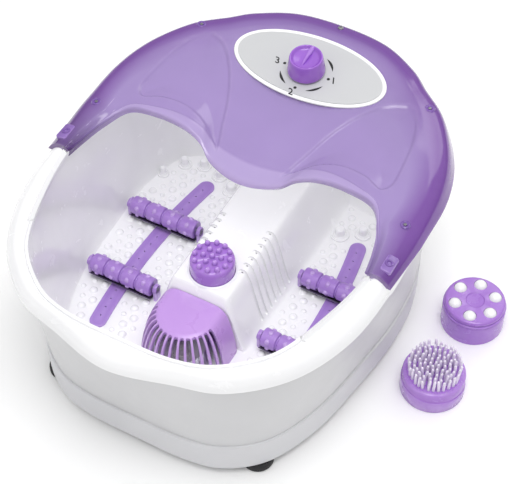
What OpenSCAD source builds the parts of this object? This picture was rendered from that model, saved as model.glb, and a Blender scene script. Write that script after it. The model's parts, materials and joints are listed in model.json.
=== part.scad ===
// Foot spa basin: a nubbed tub in a moulded casing, with rollers, bubble strips, a heat lamp,
// a splash guard with its control knob, and three interchangeable massage heads.
// Origin: on the standing plane, under the middle of the basin. +X right, +Y to the knob, +Z up.

/* [Basin] */
// Width of the rim, outside
basin_w = 344; // [290:1:400]
// Length of the rim, outside, without the carry handle
basin_l = 421; // [360:1:500]
// Height of the basin's floor above the standing plane
floor_z = 34; // [30:1:40]
// Height of the rim's crest
rim_z = 177; // [160:1:215]
// Height of the rim's outer lower edge
rim_edge_z = 160; // [146:1:190]
// Wall of the tub
tub_wall = 2.5; // [2:0.1:3.5]
// Wall of the outer casing
casing_wall = 2.4; // [2:0.1:3.5]

/* [Base] */
// Height of the base pan's underside
pan_z = 9; // [7:0.5:10]
// Height of the seam between pan and casing
seam_z = 45; // [40:1:52]
// Wall of the base pan
pan_wall = 3.6; // [3:0.1:5]
// Radius of a rubber foot
foot_r = 15; // [10:0.5:18]
// Radius of a base screw's shank
screw_r = 1.6; // [1.2:0.1:2]

/* [Ridge] */
// Height of the ridge above the floor
ridge_h = 64; // [56:1:74]
// Half width of the ridge's flat top
ridge_top = 25; // [24:0.5:30]
// Half width of the ridge at its foot
ridge_foot = 48; // [44:0.5:52]
// Where the ridge's front end meets its top
ridge_front_y = -48; // [-52:1:-47]

/* [Head holder] */
// Radius of the seated massage head
nub_head_r = 21; // [18:0.5:21.5]
// Place of the holder along the ridge
holder_y = -22; // [-23:1:20]
// Depth of the holder's recess
holder_depth = 9; // [6:0.5:12]
// Radius of the peg that a head pushes onto
peg_r = 5; // [4:0.1:6]

/* [Massage heads] */
// Radius of a loose head's cup
head_r = 30.5; // [24:0.5:34]
// Height of a loose head's cup
head_h = 32; // [26:0.5:40]
// Radius of a rolling ball
ball_r = 6.5; // [5:0.1:7.5]
// Radius of the ring of balls
ball_ring_r = 20; // [18:0.5:22]
// Length of a bristle
bristle_l = 15; // [8:0.5:20]

/* [Rollers] */
// Radius of a roller's barrel, without its nubs
roller_r = 9.2; // [7:0.1:11]
// Least height of a roller's axis above the floor
roller_lift = 14; // [12.5:0.1:17]
// Row of the front rollers
roller_front_y = -34; // [-45:1:-20]
// Row of the rear rollers
roller_rear_y = 48; // [35:1:62]
// Radius of a roller's axle
axle_r = 2; // [1.5:0.1:3]

/* [Bubble strips] */
// Width of a strip
strip_w = 16.5; // [12:0.5:20]
// Thickness of a strip
strip_t = 2; // [1:0.1:3]

/* [Heat lamp] */
// Length of the lamp cover, front to back
cover_l = 66; // [55:1:72]
// Half width of the lamp cover at its base
cover_hw = 42; // [36:0.5:44]
// Height of the lamp cover above the floor
cover_h = 54; // [44:1:60]
// Slots in the lamp cover
slot_count = 15; // [9:2:17]

/* [Control] */
// Half width of the panel
panel_a = 78; // [60:1:84]
// Half depth of the panel
panel_b = 40; // [34:1:42]
// Place of the panel
panel_y = 165; // [155:1:172]
// Rise of the panel's face over the guard's back
panel_rise = 1.5; // [1:0.5:4]
// Tilt of the panel towards the user
panel_tilt = 5; // [0:1:8]
// Radius of the knob
knob_r = 18; // [13:0.5:22]
// Height of the knob
knob_h = 19; // [14:0.5:26]

/* [Splash guard] */
// Wall of the guard
guard_wall = 3; // [2:0.1:4]
// Rise of the guard's arms over the rim's crest
guard_arm_rise = 5; // [4.5:0.5:9]
// Rise of the guard's back over the rim's crest
guard_back_rise = 19; // [14:1:24]

/* [Drive] */
// Radius of the motor's housing
motor_r = 17; // [14:0.5:18]
// Length of the motor's housing
motor_l = 38; // [30:1:42]
// Radius of the blower's wheel
impeller_r = 19; // [15:0.5:20]

/* [Clearances] */
// Between parts that are pushed together by hand
push_gap = 0.3; // [0.2:0.05:0.5]
// Around a turning shaft or pin
run_gap = 0.05; // [0.02:0.01:0.1]

/* [Hidden] */
$fn = 48;

guard_arm_z = rim_z + guard_arm_rise;
guard_back_z = rim_z + guard_back_rise;
panel_z = guard_back_z + panel_rise;
ridge_z = floor_z + ridge_h;
cover_z = floor_z + cover_h;

white = "white";
shade = "gainsboro";
lilac = "mediumpurple";
metal = "silver";

// Stretch of the plan outlines from the size that they were drawn at
sx = basin_w / 344;
sy = basin_l / 421;
LAST = 10;
LOOP = 2 * LAST;

// Half outlines, from the front middle to the back middle
BASE = [[0, -166], [50, -165], [86, -156], [119, -128], [141, -78], [152, -20], [159, 40],
  [155, 98], [132, 152], [79, 190], [0, 200]];
WALL_TOP = [[0, -187], [52, -183], [94, -166], [131, -131], [155, -78], [164, -20], [167, 40],
  [162, 98], [139, 155], [90, 196], [0, 212]];
RIM_OUT = [[0, -199], [57, -186], [100, -172], [141, -134], [165, -80], [172, -20], [171, 40],
  [167, 98], [146, 158], [96, 203], [0, 243]];
RIM_IN = [[0, -178], [50, -176], [88, -163], [124, -128], [144, -72], [153.5, -20], [155, 40],
  [151, 95], [133, 146], [82, 176], [0, 186]];
FLOOR = [[0, -150], [45, -148], [80, -138], [110, -112], [130, -66], [138, -20], [142, 40],
  [142, 92], [125, 141], [74, 160], [0, 163]];
LIP = [[150, -20], [146, 2], [139, 24], [124, 45], [97, 50], [70, 50], [50, 46], [36, 38],
  [18, 33], [0, 31]];
GUARD_OUT = [[173, -20], [175, 10], [177, 50], [174.5, 98], [162, 140], [137, 180], [108, 205],
  [86, 224], [48, 243], [0, 248]];
// Drop of the guard's front lip below the crest of its arms
LIP_DROP = [11, 10, 7, 0, -2, 0, 6, 14, 18, 19];

function stretch(p) = [p.x * sx, p.y * sy];
function flip(p) = [-p.x, p.y];
function mix(a, b, f) = a * (1 - f) + b * f;
function unit(v) = v / norm(v);
function side(v) = v < 0 ? -1 : 1;
function smooth(f) = let (c = min(1, max(0, f))) c * c * (3 - 2 * c);
function knot(pts, i, last) = i < 0 ? flip(pts[-i]) : i > last ? flip(pts[2 * last - i]) : pts[i];
function curve(a, b, c, d, f) =
  0.5 * (2 * b + (c - a) * f + (2 * a - 5 * b + 4 * c - d) * f ^ 2
  + (3 * b - a - 3 * c + d) * f ^ 3);
// A point of a half outline: t runs from 0 at the front to LAST at the back
function half_at(pts, t) =
  let (i = min(LAST - 1, floor(t)))
  curve(knot(pts, i - 1, LAST), pts[i], pts[i + 1], knot(pts, i + 2, LAST), t - i);
// A point of the whole loop, anticlockwise from the front middle: s runs from 0 to LOOP
function at(pts, s) =
  let (w = s < 0 ? s + LOOP : s >= LOOP ? s - LOOP : s)
  stretch(w <= LAST ? half_at(pts, w) : flip(half_at(pts, LOOP - w)));
function outward(pts, s) =
  let (d = unit(at(pts, s + 0.05) - at(pts, s - 0.05))) [d.y, -d.x];
function moved(pts, s, d) = at(pts, s) + outward(pts, s) * d;
function raised(p, z) = [p.x, p.y, z];
function outline(pts, n, d = 0) = [for (m = [0 : n - 1]) moved(pts, LOOP * m / n, d)];

// Triangles between two neighbouring rings a and b of n points
function band(a, b, n) = [for (m = [0 : n - 1]) let (q = (m + 1) % n)
  each [[a[m], a[q], b[q]], [a[m], b[q], b[m]]]];

// A closed skin round a loop: rings follow each other round the cross-section
module hoop(rings) {
  n = len(rings[0]);
  k = len(rings);
  index = [for (r = [0 : k - 1]) [for (m = [0 : n - 1]) r * n + m]];
  polyhedron(
    [for (r = rings) each r],
    [for (r = [0 : k - 1]) each band(index[r], index[(r + 1) % k], n)]);
}

// A closed skin along an open row of sections, each with its upper points, then its lower ones
module beam(sections) {
  n = len(sections[0]);
  k = len(sections);
  h = n / 2;
  index = [for (r = [0 : k - 1]) [for (m = [0 : n - 1]) r * n + m]];
  end = [for (m = [0 : h - 2]) let (q = n - 1 - m) each [[m, m + 1, q - 1], [m, q - 1, q]]];
  polyhedron([for (s = sections) each s], concat(
    [for (r = [0 : k - 2]) each band(index[r + 1], index[r], n)],
    [for (t = end) [t[2], t[1], t[0]]],
    [for (t = end) t + [1, 1, 1] * (k - 1) * n]));
}

// ---------------------------------------------------------------- tub
// Columns of the floor's grid: half width on the ridge, then places along the front and back edges
ridge_mid = (ridge_top + ridge_foot) / 2;
COLUMN_X = [0, 13, ridge_top, ridge_mid - 3, ridge_mid + 4, ridge_foot, ridge_foot + 7];
SIDE_FRONT = [1.6, 1.95, 2.3, 2.6];
SIDE_BACK = [1.05, 1.35, 1.7, 2];
ROW_Y = [-150, -126, -102, -80, ridge_front_y - 2, ridge_front_y + 1.5, -20, 8, 36, 66, 96, 128,
  163];
KNEE = 2.6;
HEEL = 8;
inner = len(COLUMN_X) - 1;
outer = inner + len(SIDE_FRONT);
rows = len(ROW_Y) - 1;

function front_t(c) = c > inner ? SIDE_FRONT[c - inner - 1]
  : let (x = COLUMN_X[c] / sx) x <= 45 ? x / 45 : 1 + (x - 45) / 35;
function back_t(c) = c > inner ? SIDE_BACK[c - inner - 1] : COLUMN_X[c] / sx / 70;
function row_v(j) = (ROW_Y[j] - ROW_Y[0]) / (ROW_Y[rows] - ROW_Y[0]);
function ridge_share(x) = smooth((ridge_foot - abs(x)) / (ridge_foot - ridge_top));
function ridge_end(j) = j < 5 ? 0 : 1;
function straight(c, v) = mix(at(FLOOR, front_t(c)), at(FLOOR, LAST - back_t(c)), v);
function plan(c, j) =
  let (v = row_v(j), edge = at(FLOOR, KNEE + (HEEL - KNEE) * v),
    w = max(0, (c - inner) / (outer - inner)))
  straight(c, v) + w * (edge - straight(outer, v));
function height(c, j) = c > inner ? floor_z
  : floor_z + (ridge_z - floor_z) * ridge_share(COLUMN_X[c]) * ridge_end(j);
function under_shift(c) = c >= 2 && c <= 5 ? tub_wall : 0;
function grid_point(c, j, under) =
  let (a = abs(c), p = plan(a, j), x = side(c) * (p.x - (under && j > 3 ? under_shift(a) : 0)),
    y = p.y + (under && j >= 4 && j <= 5 && a <= 5 ? tub_wall : 0))
  [x, y, height(a, j) - (under ? tub_wall : 0)];

// Boundary of the grid, anticlockwise: [column, row, place along the loop]
edge_loop = concat(
  [for (c = [-outer : outer]) [c, 0, side(c) * front_t(abs(c))]],
  [for (j = [1 : rows]) [outer, j, KNEE + (HEEL - KNEE) * row_v(j)]],
  [for (c = [outer - 1 : -1 : -outer]) [c, rows, LAST - side(c) * back_t(abs(c))]],
  [for (j = [rows - 1 : -1 : 1]) [-outer, j, -KNEE - (HEEL - KNEE) * row_v(j)]]);
loop_n = len(edge_loop);
grid_w = 2 * outer + 1;
grid_n = grid_w * (rows + 1);

// Rim under the guard is a little lower, so the guard's arms sit over it
function ledge(p) = 3 * smooth((p.y / sy + 22) / 12);
// The skin's rings: [share from floor edge to rim, share across the rim, height share, height]
WALL_RINGS = [[0.1, 0.02], [0.28, 0.1], [0.5, 0.3], [0.95, 0.95]];
RIM_RINGS = [[0, -4], [0.25, 0], [0.6, -2], [0.9, -8], [1, -16]];
rim_drop = rim_z - rim_edge_z;
function wall_ring(r, under) = [for (e = edge_loop)
  let (start = grid_point(e[0], e[1], under), rim = at(RIM_IN, e[2]),
    out = unit(at(RIM_OUT, e[2]) - rim) * (under ? tub_wall : 0),
    foot = at(FLOOR, e[2]), p = mix(foot, rim, r[0]) + out,
    z = mix(height(abs(e[0]), e[1]), rim_z, r[1]))
  raised(p, z - (under ? tub_wall * (1 - r[1]) : 0))];
function rim_ring(r, under) = [for (e = edge_loop)
  let (rim = at(RIM_IN, e[2]), far = at(RIM_OUT, e[2]), w = norm(far - rim),
    d = mix(r[0], under ? tub_wall / w + r[0] * (1 - 2 * tub_wall / w) : r[0], 1),
    p = mix(rim, far, d), z = rim_z + r[1] * rim_drop / 16 - ledge(p))
  raised(p, z - (under && r[0] < 1 ? tub_wall : 0))];
top_rings = concat([for (r = WALL_RINGS) wall_ring(r, false)], [for (r = RIM_RINGS) rim_ring(r, false)]);
low_rings = concat([for (r = WALL_RINGS) wall_ring(r, true)], [for (r = RIM_RINGS) rim_ring(r, true)]);
ring_count = len(top_rings);

function cell(c, j, base) = base + j * grid_w + c + outer;
function grid_faces(base, up) = [for (j = [0 : rows - 1]) for (c = [-outer : outer - 1])
  let (a = cell(c, j, base), b = cell(c + 1, j, base), d = cell(c, j + 1, base),
    e = cell(c + 1, j + 1, base))
  each up ? [[a, d, e], [a, e, b]] : [[a, e, d], [a, b, e]]];

module tub_skin() {
  low_base = grid_n + ring_count * loop_n;
  edge_top = [for (e = edge_loop) cell(e[0], e[1], 0)];
  edge_low = [for (e = edge_loop) cell(e[0], e[1], low_base)];
  top_index = [for (r = [0 : ring_count - 1]) [for (m = [0 : loop_n - 1]) grid_n + r * loop_n + m]];
  low_index = [for (r = [0 : ring_count - 1])
    [for (m = [0 : loop_n - 1]) low_base + grid_n + r * loop_n + m]];
  chain = concat([edge_top], top_index, [for (r = [ring_count - 1 : -1 : 0]) low_index[r]],
    [edge_low]);
  polyhedron(
    concat(
      [for (j = [0 : rows]) for (c = [-outer : outer]) grid_point(c, j, false)],
      [for (r = top_rings) each r],
      [for (j = [0 : rows]) for (c = [-outer : outer]) grid_point(c, j, true)],
      [for (r = low_rings) each r]),
    concat(
      grid_faces(0, true),
      grid_faces(low_base, false),
      [for (k = [0 : len(chain) - 2]) each band(chain[k], chain[k + 1], loop_n)]));
}

// The holder's cup drops through this hole in the ridge
cup_wall = 1.2;
cup_r = nub_head_r + push_gap + cup_wall;

// Toe nodes: [x, y, radius of the base disc], from the big toe outwards
TOES = [[62, 121, 9.5], [82, 132, 8.2], [103, 137, 7.7], [122, 130, 7.2], [135, 108, 6]];
toe_h = 11;
module toe_nodes() {
  for (p = TOES, s = [-1, 1]) translate([s * p.x * sx, p.y * sy, floor_z - 1]) {
    cylinder(r = p.z, h = 3);
    cylinder(r = p.z / 2, h = toe_h + 1);
  }
}

module tub() {
  color(white) difference() {
    union() {
      tub_skin();
      toe_nodes();
    }
    translate([0, holder_y, ridge_z - holder_depth - 8]) cylinder(r = cup_r + push_gap, h = 30);
  }
}

// ---------------------------------------------------------------- casing and base
casing_n = 60;
casing_inset = 2;
function casing_ring(f, d) = [for (m = [0 : casing_n - 1])
  let (s = LOOP * m / casing_n)
  raised(mix(moved(BASE, s, -casing_inset + d), moved(WALL_TOP, s, d), f),
    mix(seam_z, rim_edge_z - 2, f))];

module outer_casing() {
  color(white) hoop([casing_ring(0, 0), casing_ring(0.5, 0), casing_ring(1, 0),
    casing_ring(1, -casing_wall), casing_ring(0.5, -casing_wall), casing_ring(0, -casing_wall)]);
}

pan_n = 72;
post_r = 4.5;
plate_t = 3;
foot_sites = [[104, -126], [106, 140]];
post_sites = [[70, -118], [126, 0], [88, 128]];
screw_bore = screw_r + 0.2;
post_top = floor_z - tub_wall - 0.2;

module both_sides(sites) {
  for (p = sites, s = [-1, 1]) translate([s * p.x * sx, p.y * sy, 0]) children();
}

// Rows of cooling slots in the pan's floor
vent_count = 7;
vent_pitch = 9;
vent_l = 44;
vent_y = 70;

module base_pan() {
  color(shade) difference() {
    union() {
      translate([0, 0, pan_z]) linear_extrude(plate_t) polygon(outline(BASE, pan_n, -1));
      translate([0, 0, pan_z]) linear_extrude(seam_z - pan_z) difference() {
        polygon(outline(BASE, pan_n));
        polygon(outline(BASE, pan_n, -pan_wall));
      }
      both_sides(post_sites) translate([0, 0, pan_z]) cylinder(r = post_r, h = post_top - pan_z);
    }
    both_sides(post_sites) translate([0, 0, pan_z - 1]) cylinder(r = screw_bore, h = post_top);
    both_sides(post_sites) translate([0, 0, pan_z - 1]) cylinder(r = 3.6, h = 3.5);
    both_sides(foot_sites) translate([0, 0, pan_z - 1]) cylinder(r = stem_r + push_gap, h = 9);
    for (i = [0 : vent_count - 1])
      translate([-vent_l / 2, (i - (vent_count - 1) / 2) * vent_pitch + vent_y, pan_z - 1])
        cube([vent_l, 3, 8]);
    translate([gland_x, 160, gland_z]) rotate([-90, 0, 0]) cylinder(r = gland_r + 0.2, h = 60);
  }
}

stem_r = 4;
module feet() {
  color("black") both_sides(foot_sites) {
    cylinder(r = foot_r, h = pan_z - 0.1);
    cylinder(r = stem_r, h = pan_z + plate_t + 2);
  }
}

module screw(l, r = screw_r, head_r = 3.2, head_h = 2) {
  cylinder(r = r, h = l);
  translate([0, 0, -head_h]) cylinder(r = head_r, h = head_h);
}

module base_screws() {
  color(metal) both_sides(post_sites) translate([0, 0, pan_z + 2.5]) screw(floor_z - pan_z - 3.5);
}

// ---------------------------------------------------------------- splash guard
guard_n = 18;
GUARD_LAST = len(LIP) - 1;
function guard_t(i) = GUARD_LAST * i / guard_n;
function arm_curve(pts, t) =
  let (i = min(GUARD_LAST - 1, floor(t)), a = i == 0 ? 2 * pts[0] - pts[1] : pts[i - 1],
    d = i + 2 > GUARD_LAST ? flip(pts[GUARD_LAST - 1]) : pts[i + 2])
  stretch(curve(a, pts[i], pts[i + 1], d, t - i));
function lip_height(t) = let (i = min(GUARD_LAST - 1, floor(t)))
  guard_arm_z - mix(LIP_DROP[i], LIP_DROP[i + 1], t - i);
// Rolled outer shoulder: [share of its width in from the edge, drop from the crest]
SHOULDER = [[1, 0], [0.58, 1], [0.22, 6]];
shoulder_w = 38;
guard_edge_z = rim_edge_z + 10;
flange_h = 6;

function guard_section(i, s) =
  let (t = guard_t(i), lip = arm_curve(LIP, t), far = arm_curve(GUARD_OUT, t), w = norm(far - lip),
    in = unit(lip - far), back = smooth(t / 6), crest = mix(guard_arm_z, guard_back_z, back),
    low = lip_height(t), flange = low + flange_h,
    wide = min(shoulder_w, 0.75 * w),
    roll = concat([for (r = SHOULDER) [far + in * r[0] * wide, crest - r[1]]], [[far, guard_edge_z]]),
    upper = concat([[lip, low], [lip - in * 0.5, flange]],
      [for (f = [0.3, 0.65]) [mix(lip, roll[0][0], f), mix(flange, crest, smooth(f + 0.15))]], roll),
    lower = [for (k = [len(upper) - 1 : -1 : 0])
      let (p = upper[k], wall = k == 0 || k == len(upper) - 1)
      [p[0] + (k < 2 ? -in : k > 5 ? in : in * 0) * guard_wall * 0.9, p[1] - (wall ? 0 : guard_wall)]])
  [for (p = concat(upper, lower)) [s * p[0].x, p[0].y, p[1]]];

module guard_skin() {
  beam(concat([for (i = [0 : guard_n]) guard_section(i, 1)],
    [for (i = [guard_n - 1 : -1 : 0]) guard_section(i, -1)]));
}

module splash_guard() {
  color(lilac, 0.7) difference() {
    guard_skin();
    panel_frame() translate([0, 0, -30]) oval_plate(tray_a + push_gap, tray_b + push_gap, 60);
    panel_frame() translate([0, 0, -bezel_t - 0.1]) oval_plate(panel_a + push_gap, panel_b + push_gap, 30);
  }
}

// Screws through the guard into the rim: [x, y, height over the arms' crest]
GUARD_SCREWS = [[165, -1, -3], [158, 40, 0], [121, 172, 9], [0, 231, 12]];
module guard_screws() {
  color(metal) for (p = GUARD_SCREWS, s = p.x > 0 ? [-1, 1] : [1])
    translate([s * p.x * sx, p.y * sy, guard_arm_z + p.z]) rotate([180, 0, 0])
      screw(p.z + guard_arm_rise + 9, 1.5, 2.8, 1.6);
}

// ---------------------------------------------------------------- control panel
module panel_frame() {
  translate([0, panel_y * sy, panel_z]) rotate([panel_tilt, 0, 0]) children();
}

module oval_plate(a, b, h) {
  linear_extrude(h) polygon([for (q = [0 : 71]) [a * cos(q * 5), b * sin(q * 5)]]);
}

label_t = 1;
bezel_w = 4;
bezel_t = 2;
// The bezel's tray drops through the guard
tray_a = panel_a - 3;
tray_b = panel_b - 3;
tray_h = 12;
knob_y = -6;
shaft_r = 3;
module knob_frame() {
  panel_frame() translate([0, knob_y, 0]) children();
}

module panel_bezel() {
  color(white) panel_frame() difference() {
    union() {
      translate([0, 0, -bezel_t]) oval_plate(panel_a, panel_b, bezel_t);
      translate([0, 0, -tray_h]) oval_plate(tray_a, tray_b, tray_h);
    }
    translate([0, 0, -label_t]) oval_plate(panel_a - bezel_w, panel_b - bezel_w, 5);
    translate([0, 0, -tray_h - 1]) oval_plate(tray_a - 2.5, tray_b - 2.5, tray_h - bezel_t);
    translate([0, knob_y, -tray_h]) cylinder(r = neck_r + push_gap, h = 2 * tray_h);
  }
}

module panel_label() {
  color("lightgrey") panel_frame() difference() {
    translate([0, 0, -label_t]) oval_plate(panel_a - bezel_w - 0.1, panel_b - bezel_w - 0.1, label_t);
    translate([0, knob_y, -tray_h]) cylinder(r = neck_r + push_gap, h = 2 * tray_h);
  }
}

// The switch hangs under the panel, its threaded neck through the bezel
neck_r = 5;
switch_r = 14;
switch_h = 15;
switch_top = tray_h;
module rotary_switch() {
  color("dimgray") knob_frame() difference() {
    union() {
      translate([0, 0, -switch_top - switch_h]) cylinder(r = switch_r, h = switch_h);
      translate([0, 0, -switch_top - 1]) cylinder(r = neck_r, h = switch_top + 2);
    }
    translate([0, 0, -switch_top - 6]) cylinder(r = shaft_r + run_gap, h = 30);
  }
}

module switch_nut() {
  color(metal) knob_frame() difference() {
    translate([0, 0, -bezel_t - 3]) cylinder(r = 8, h = 2, $fn = 6);
    translate([0, 0, -bezel_t - 4]) cylinder(r = neck_r + 0.05, h = 4);
  }
}

module switch_shaft() {
  color(metal) knob_frame() translate([0, 0, -switch_top - 5])
    cylinder(r = shaft_r, h = switch_top + 5 + knob_lift + 10);
}

knob_lift = 1.6;
module knob() {
  color(lilac) knob_frame() translate([0, 0, knob_lift]) difference() {
    rotate_extrude($fn = 60) polygon([[shaft_r, 2], [neck_r + 1, 2], [neck_r + 1, 0], [knob_r, 0],
      [knob_r, 3], [knob_r - 2, knob_h - 2], [knob_r - 4, knob_h - 1], [6, knob_h - 5], [0, knob_h - 6],
      [0, 10], [shaft_r, 10]]);
  }
  color(lilac) knob_frame() translate([-1.5, 0, knob_lift + 11]) cube([3, knob_r - 2.6, knob_h - 11.3]);
}

// A cup that keeps water off the switch; its mouth meets the tray's floor, the switch its own
housing_r = 18;
module control_housing() {
  color(shade) knob_frame() translate([0, 0, -switch_top - switch_h - 2]) difference() {
    cylinder(r = housing_r, h = switch_h + 2 + switch_top - bezel_t - 1);
    translate([0, 0, 2]) cylinder(r = housing_r - 2, h = 60);
  }
}

// ---------------------------------------------------------------- rollers
edge_clear = 4;
function floor_half(y) = let (t = 5 + (y / sy + 20) / 60) at(FLOOR, t).x;
roller_in = ridge_foot + 6;
nub_rise = 1.5;
strip_gap = 1;
// The rollers' axis stays high enough for their nubs to pass over the strips
roller_z = floor_z + max(roller_lift, strip_t + strip_gap + roller_r + nub_rise);
stub = 6;
function roller_len(y) = floor_half(y) - edge_clear - roller_in - 2 * stub;
groove = 2.4;
segments = 4;
roller_nub_r = 2.1;

module roller_frame(s, y) {
  translate([s * (roller_in + stub + roller_len(y) / 2), y, roller_z]) rotate([0, 90, 0]) children();
}

module roller(s, y) {
  l = roller_len(y);
  seg = (l - groove * (segments - 1)) / segments;
  color(lilac) roller_frame(s, y) difference() {
    union() {
      translate([0, 0, -l / 2]) cylinder(r = roller_r - 1.5, h = l);
      for (i = [0 : segments - 1])
        translate([0, 0, -l / 2 + i * (seg + groove)]) cylinder(r = roller_r, h = seg);
      for (i = [0 : segments - 1], a = [0 : 60 : 300])
        translate([0, 0, -l / 2 + i * (seg + groove) + seg / 2]) rotate([0, 0, a + 30 * (i % 2)])
          translate([roller_r + nub_rise - roller_nub_r, 0, 0]) sphere(r = roller_nub_r, $fn = 20);
    }
    translate([0, 0, -l]) cylinder(r = axle_r + run_gap, h = 2 * l);
  }
}

module axle(s, y) {
  l = roller_len(y) + 2 * (stub - 0.5);
  color(metal) roller_frame(s, y) translate([0, 0, -l / 2]) cylinder(r = axle_r, h = l);
}

// Two posts on the floor hold each axle
bracket_t = 4;
module roller_brackets() {
  color(lilac) for (s = [-1, 1], y = [roller_front_y, roller_rear_y], e = [-1, 1])
    roller_frame(s, y) translate([0, 0, e * (roller_len(y) / 2 + stub - bracket_t / 2 - 0.5)]) difference() {
      union() {
        translate([0, 0, -bracket_t / 2]) cylinder(r = axle_r + 3, h = bracket_t);
        translate([0, -axle_r - 3, -bracket_t / 2]) cube([roller_z - floor_z, 2 * axle_r + 6, bracket_t]);
      }
      translate([0, 0, -bracket_t]) cylinder(r = axle_r + 0.02, h = 2 * bracket_t);
    }
}

// ---------------------------------------------------------------- bubble strips
STRIP_FRONT = [91, -84];
STRIP_BACK = [86, 112];
strip_bow = 8;
strip_parts = 4;
strip_holes = 18;
// A point of the strip's middle line, bowed outwards: f runs from 0 at the front to 1
function strip_at(f, s) =
  let (p = mix(STRIP_FRONT, STRIP_BACK, f) + [4 * f * (1 - f) * strip_bow, 0]) [s * p.x * sx, p.y * sy];
module strip_outline(s) {
  for (k = [0 : strip_parts - 1]) hull() {
    translate(strip_at(k / strip_parts, s)) circle(d = strip_w);
    translate(strip_at((k + 1) / strip_parts, s)) circle(d = strip_w);
  }
}

module bubble_strip(s) {
  color(lilac) difference() {
    translate([0, 0, floor_z]) linear_extrude(strip_t) strip_outline(s);
    for (i = [0 : strip_holes - 1])
      translate(raised(strip_at((i + 0.5) / strip_holes, s), floor_z - 1)) cylinder(r = 0.8, h = 8);
  }
}

// ---------------------------------------------------------------- heat lamp
cover_back_y = ridge_front_y - 2 - 0.4;
cover_wall = 2.2;
cover_mid_y = cover_back_y - cover_l + cover_hw;
slot_w = 2.8;
slot_foot = 8;

// One level of the cover: a round front and straight sides that run back to the ridge
module cover_level(half, shift, z, grow) {
  middle = cover_mid_y + shift;
  translate([0, 0, z]) linear_extrude(1) intersection() {
    union() {
      translate([0, middle]) circle(r = half - grow, $fn = 64);
      translate([-half + grow, middle]) square([2 * (half - grow), cover_l]);
    }
    translate([-cover_l, cover_back_y - grow - 2 * cover_l]) square(2 * cover_l);
  }
}

// Levels of the cover: [drop of its half width, shift of its dome, height below the top]
COVER_LEVELS = [[0, 0, cover_h], [7.6, 2.5, 15], [10, 3.5, 6], [14, 5, 1]];
module cover_body(grow, top) {
  hull() for (level = COVER_LEVELS)
    cover_level(cover_hw - level.x, level.y, top - level.z, grow);
}

module lamp_cover() {
  color(lilac) difference() {
    cover_body(0, cover_z);
    translate([0, 0, -cover_wall]) cover_body(cover_wall, cover_z);
    for (i = [0 : slot_count - 1]) let (a = 180 + 12 + 156 * i / (slot_count - 1))
      translate([0, cover_mid_y + 4, floor_z + slot_foot]) rotate([0, 0, a]) translate([20, -slot_w / 2, 0])
        cube([cover_hw, slot_w, cover_h - slot_foot - 3]);
  }
}

// The bowl stands on the floor between the ridge and the cover's front
lamp_r = cover_l / 2 - 4;
lamp_y = cover_back_y - cover_wall - lamp_r - 0.5;
bowl_h = 24;
module lamp_reflector() {
  color(metal) translate([0, lamp_y, floor_z]) rotate_extrude($fn = 60)
    polygon([[10, 0], [lamp_r, 0], [lamp_r, 2], [lamp_r - 5, bowl_h], [lamp_r - 7, bowl_h], [10, 4]]);
}

module lamp_lens() {
  color("lavenderblush", 0.5) translate([0, lamp_y, floor_z + bowl_h])
    cylinder(r1 = lamp_r - 5, r2 = lamp_r - 9, h = 6);
}

module lamp_bulbs() {
  color("gold") translate([0, lamp_y, floor_z]) {
    cylinder(r = 7, h = 8);
    translate([0, 0, 8]) cylinder(r = 5, h = 10);
    translate([0, 0, 15]) sphere(r = 6.5);
  }
}

// ---------------------------------------------------------------- heads
cup_floor = 2;
cup_lip = 1;
recess_r = nub_head_r + push_gap;
cup_floor_z = ridge_z - holder_depth;
peg_h = 7;
module head_holder() {
  color(white) translate([0, holder_y, cup_floor_z]) rotate_extrude($fn = 60)
    polygon([[0, -cup_floor], [cup_r, -cup_floor], [cup_r, holder_depth], [cup_r + cup_lip, holder_depth],
      [cup_r + cup_lip, holder_depth + 0.5], [cup_r, holder_depth + 1], [recess_r, holder_depth + 1],
      [recess_r, 0], [peg_r, 0], [peg_r, peg_h - 1], [peg_r - 1, peg_h], [0, peg_h]]);
}

// Section of a head's hollow cup: outside radius, height; a socket for the peg inside
socket_r = peg_r + push_gap;
socket_wall = 1.8;
module head_shell(r, h, lid) {
  polygon([[r - 2.4, 0], [r, 0], [r, h - 3], [r - 2.5, h], [0, h], [0, h - lid], [socket_r, h - lid],
    [socket_r, 0.6], [socket_r + socket_wall, 0.6], [socket_r + socket_wall, h - lid],
    [r - 2.4, h - lid]]);
}

nub_head_rise = 17;
nub_r = 2.3;
module nub_head() {
  h = holder_depth + nub_head_rise;
  color(lilac) translate([0, holder_y, cup_floor_z]) {
    rotate_extrude($fn = 60) head_shell(nub_head_r, h, h - peg_h - 1);
    for (ring = [[0, 1], [8.4, 6], [16.6, 12]], k = [0 : ring[1] - 1])
      rotate([0, 0, 360 * k / ring[1] + 15]) translate([ring[0], 0, h - 1]) {
        cylinder(r = nub_r, h = 4);
        translate([0, 0, 4]) sphere(r = nub_r, $fn = 20);
      }
  }
}

BALL_HEAD = [212, 112];
BRUSH_HEAD = [210, 22];
function parked(p) = [p.x + basin_w / 2 - 172, p.y];
ball_sink = 2.6;
ball_turn = 38;
seat_r = ball_r + 0.3;
module at_ball_head() {
  translate(concat(parked(BALL_HEAD), 0)) children();
}

module ball_ring() {
  for (k = [0 : 5]) rotate([0, 0, 60 * k + ball_turn]) translate([ball_ring_r, 0, head_h - ball_sink])
    children();
}

lid_t = 5;
module ball_head_cup() {
  color(lilac) at_ball_head() difference() {
    rotate_extrude($fn = 64) head_shell(head_r, head_h - lid_t, 16);
    ball_ring() sphere(r = seat_r);
  }
}

module ball_head_lid() {
  color(lilac) at_ball_head() difference() {
    translate([0, 0, head_h - lid_t + 0.02]) rotate_extrude($fn = 64)
      polygon([[7, 0], [head_r - 2.5, 0], [head_r - 1, 1], [head_r - 1, lid_t - 2],
        [head_r - 3, lid_t], [9, lid_t], [7, lid_t - 1.5]]);
    ball_ring() sphere(r = seat_r);
  }
}

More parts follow.
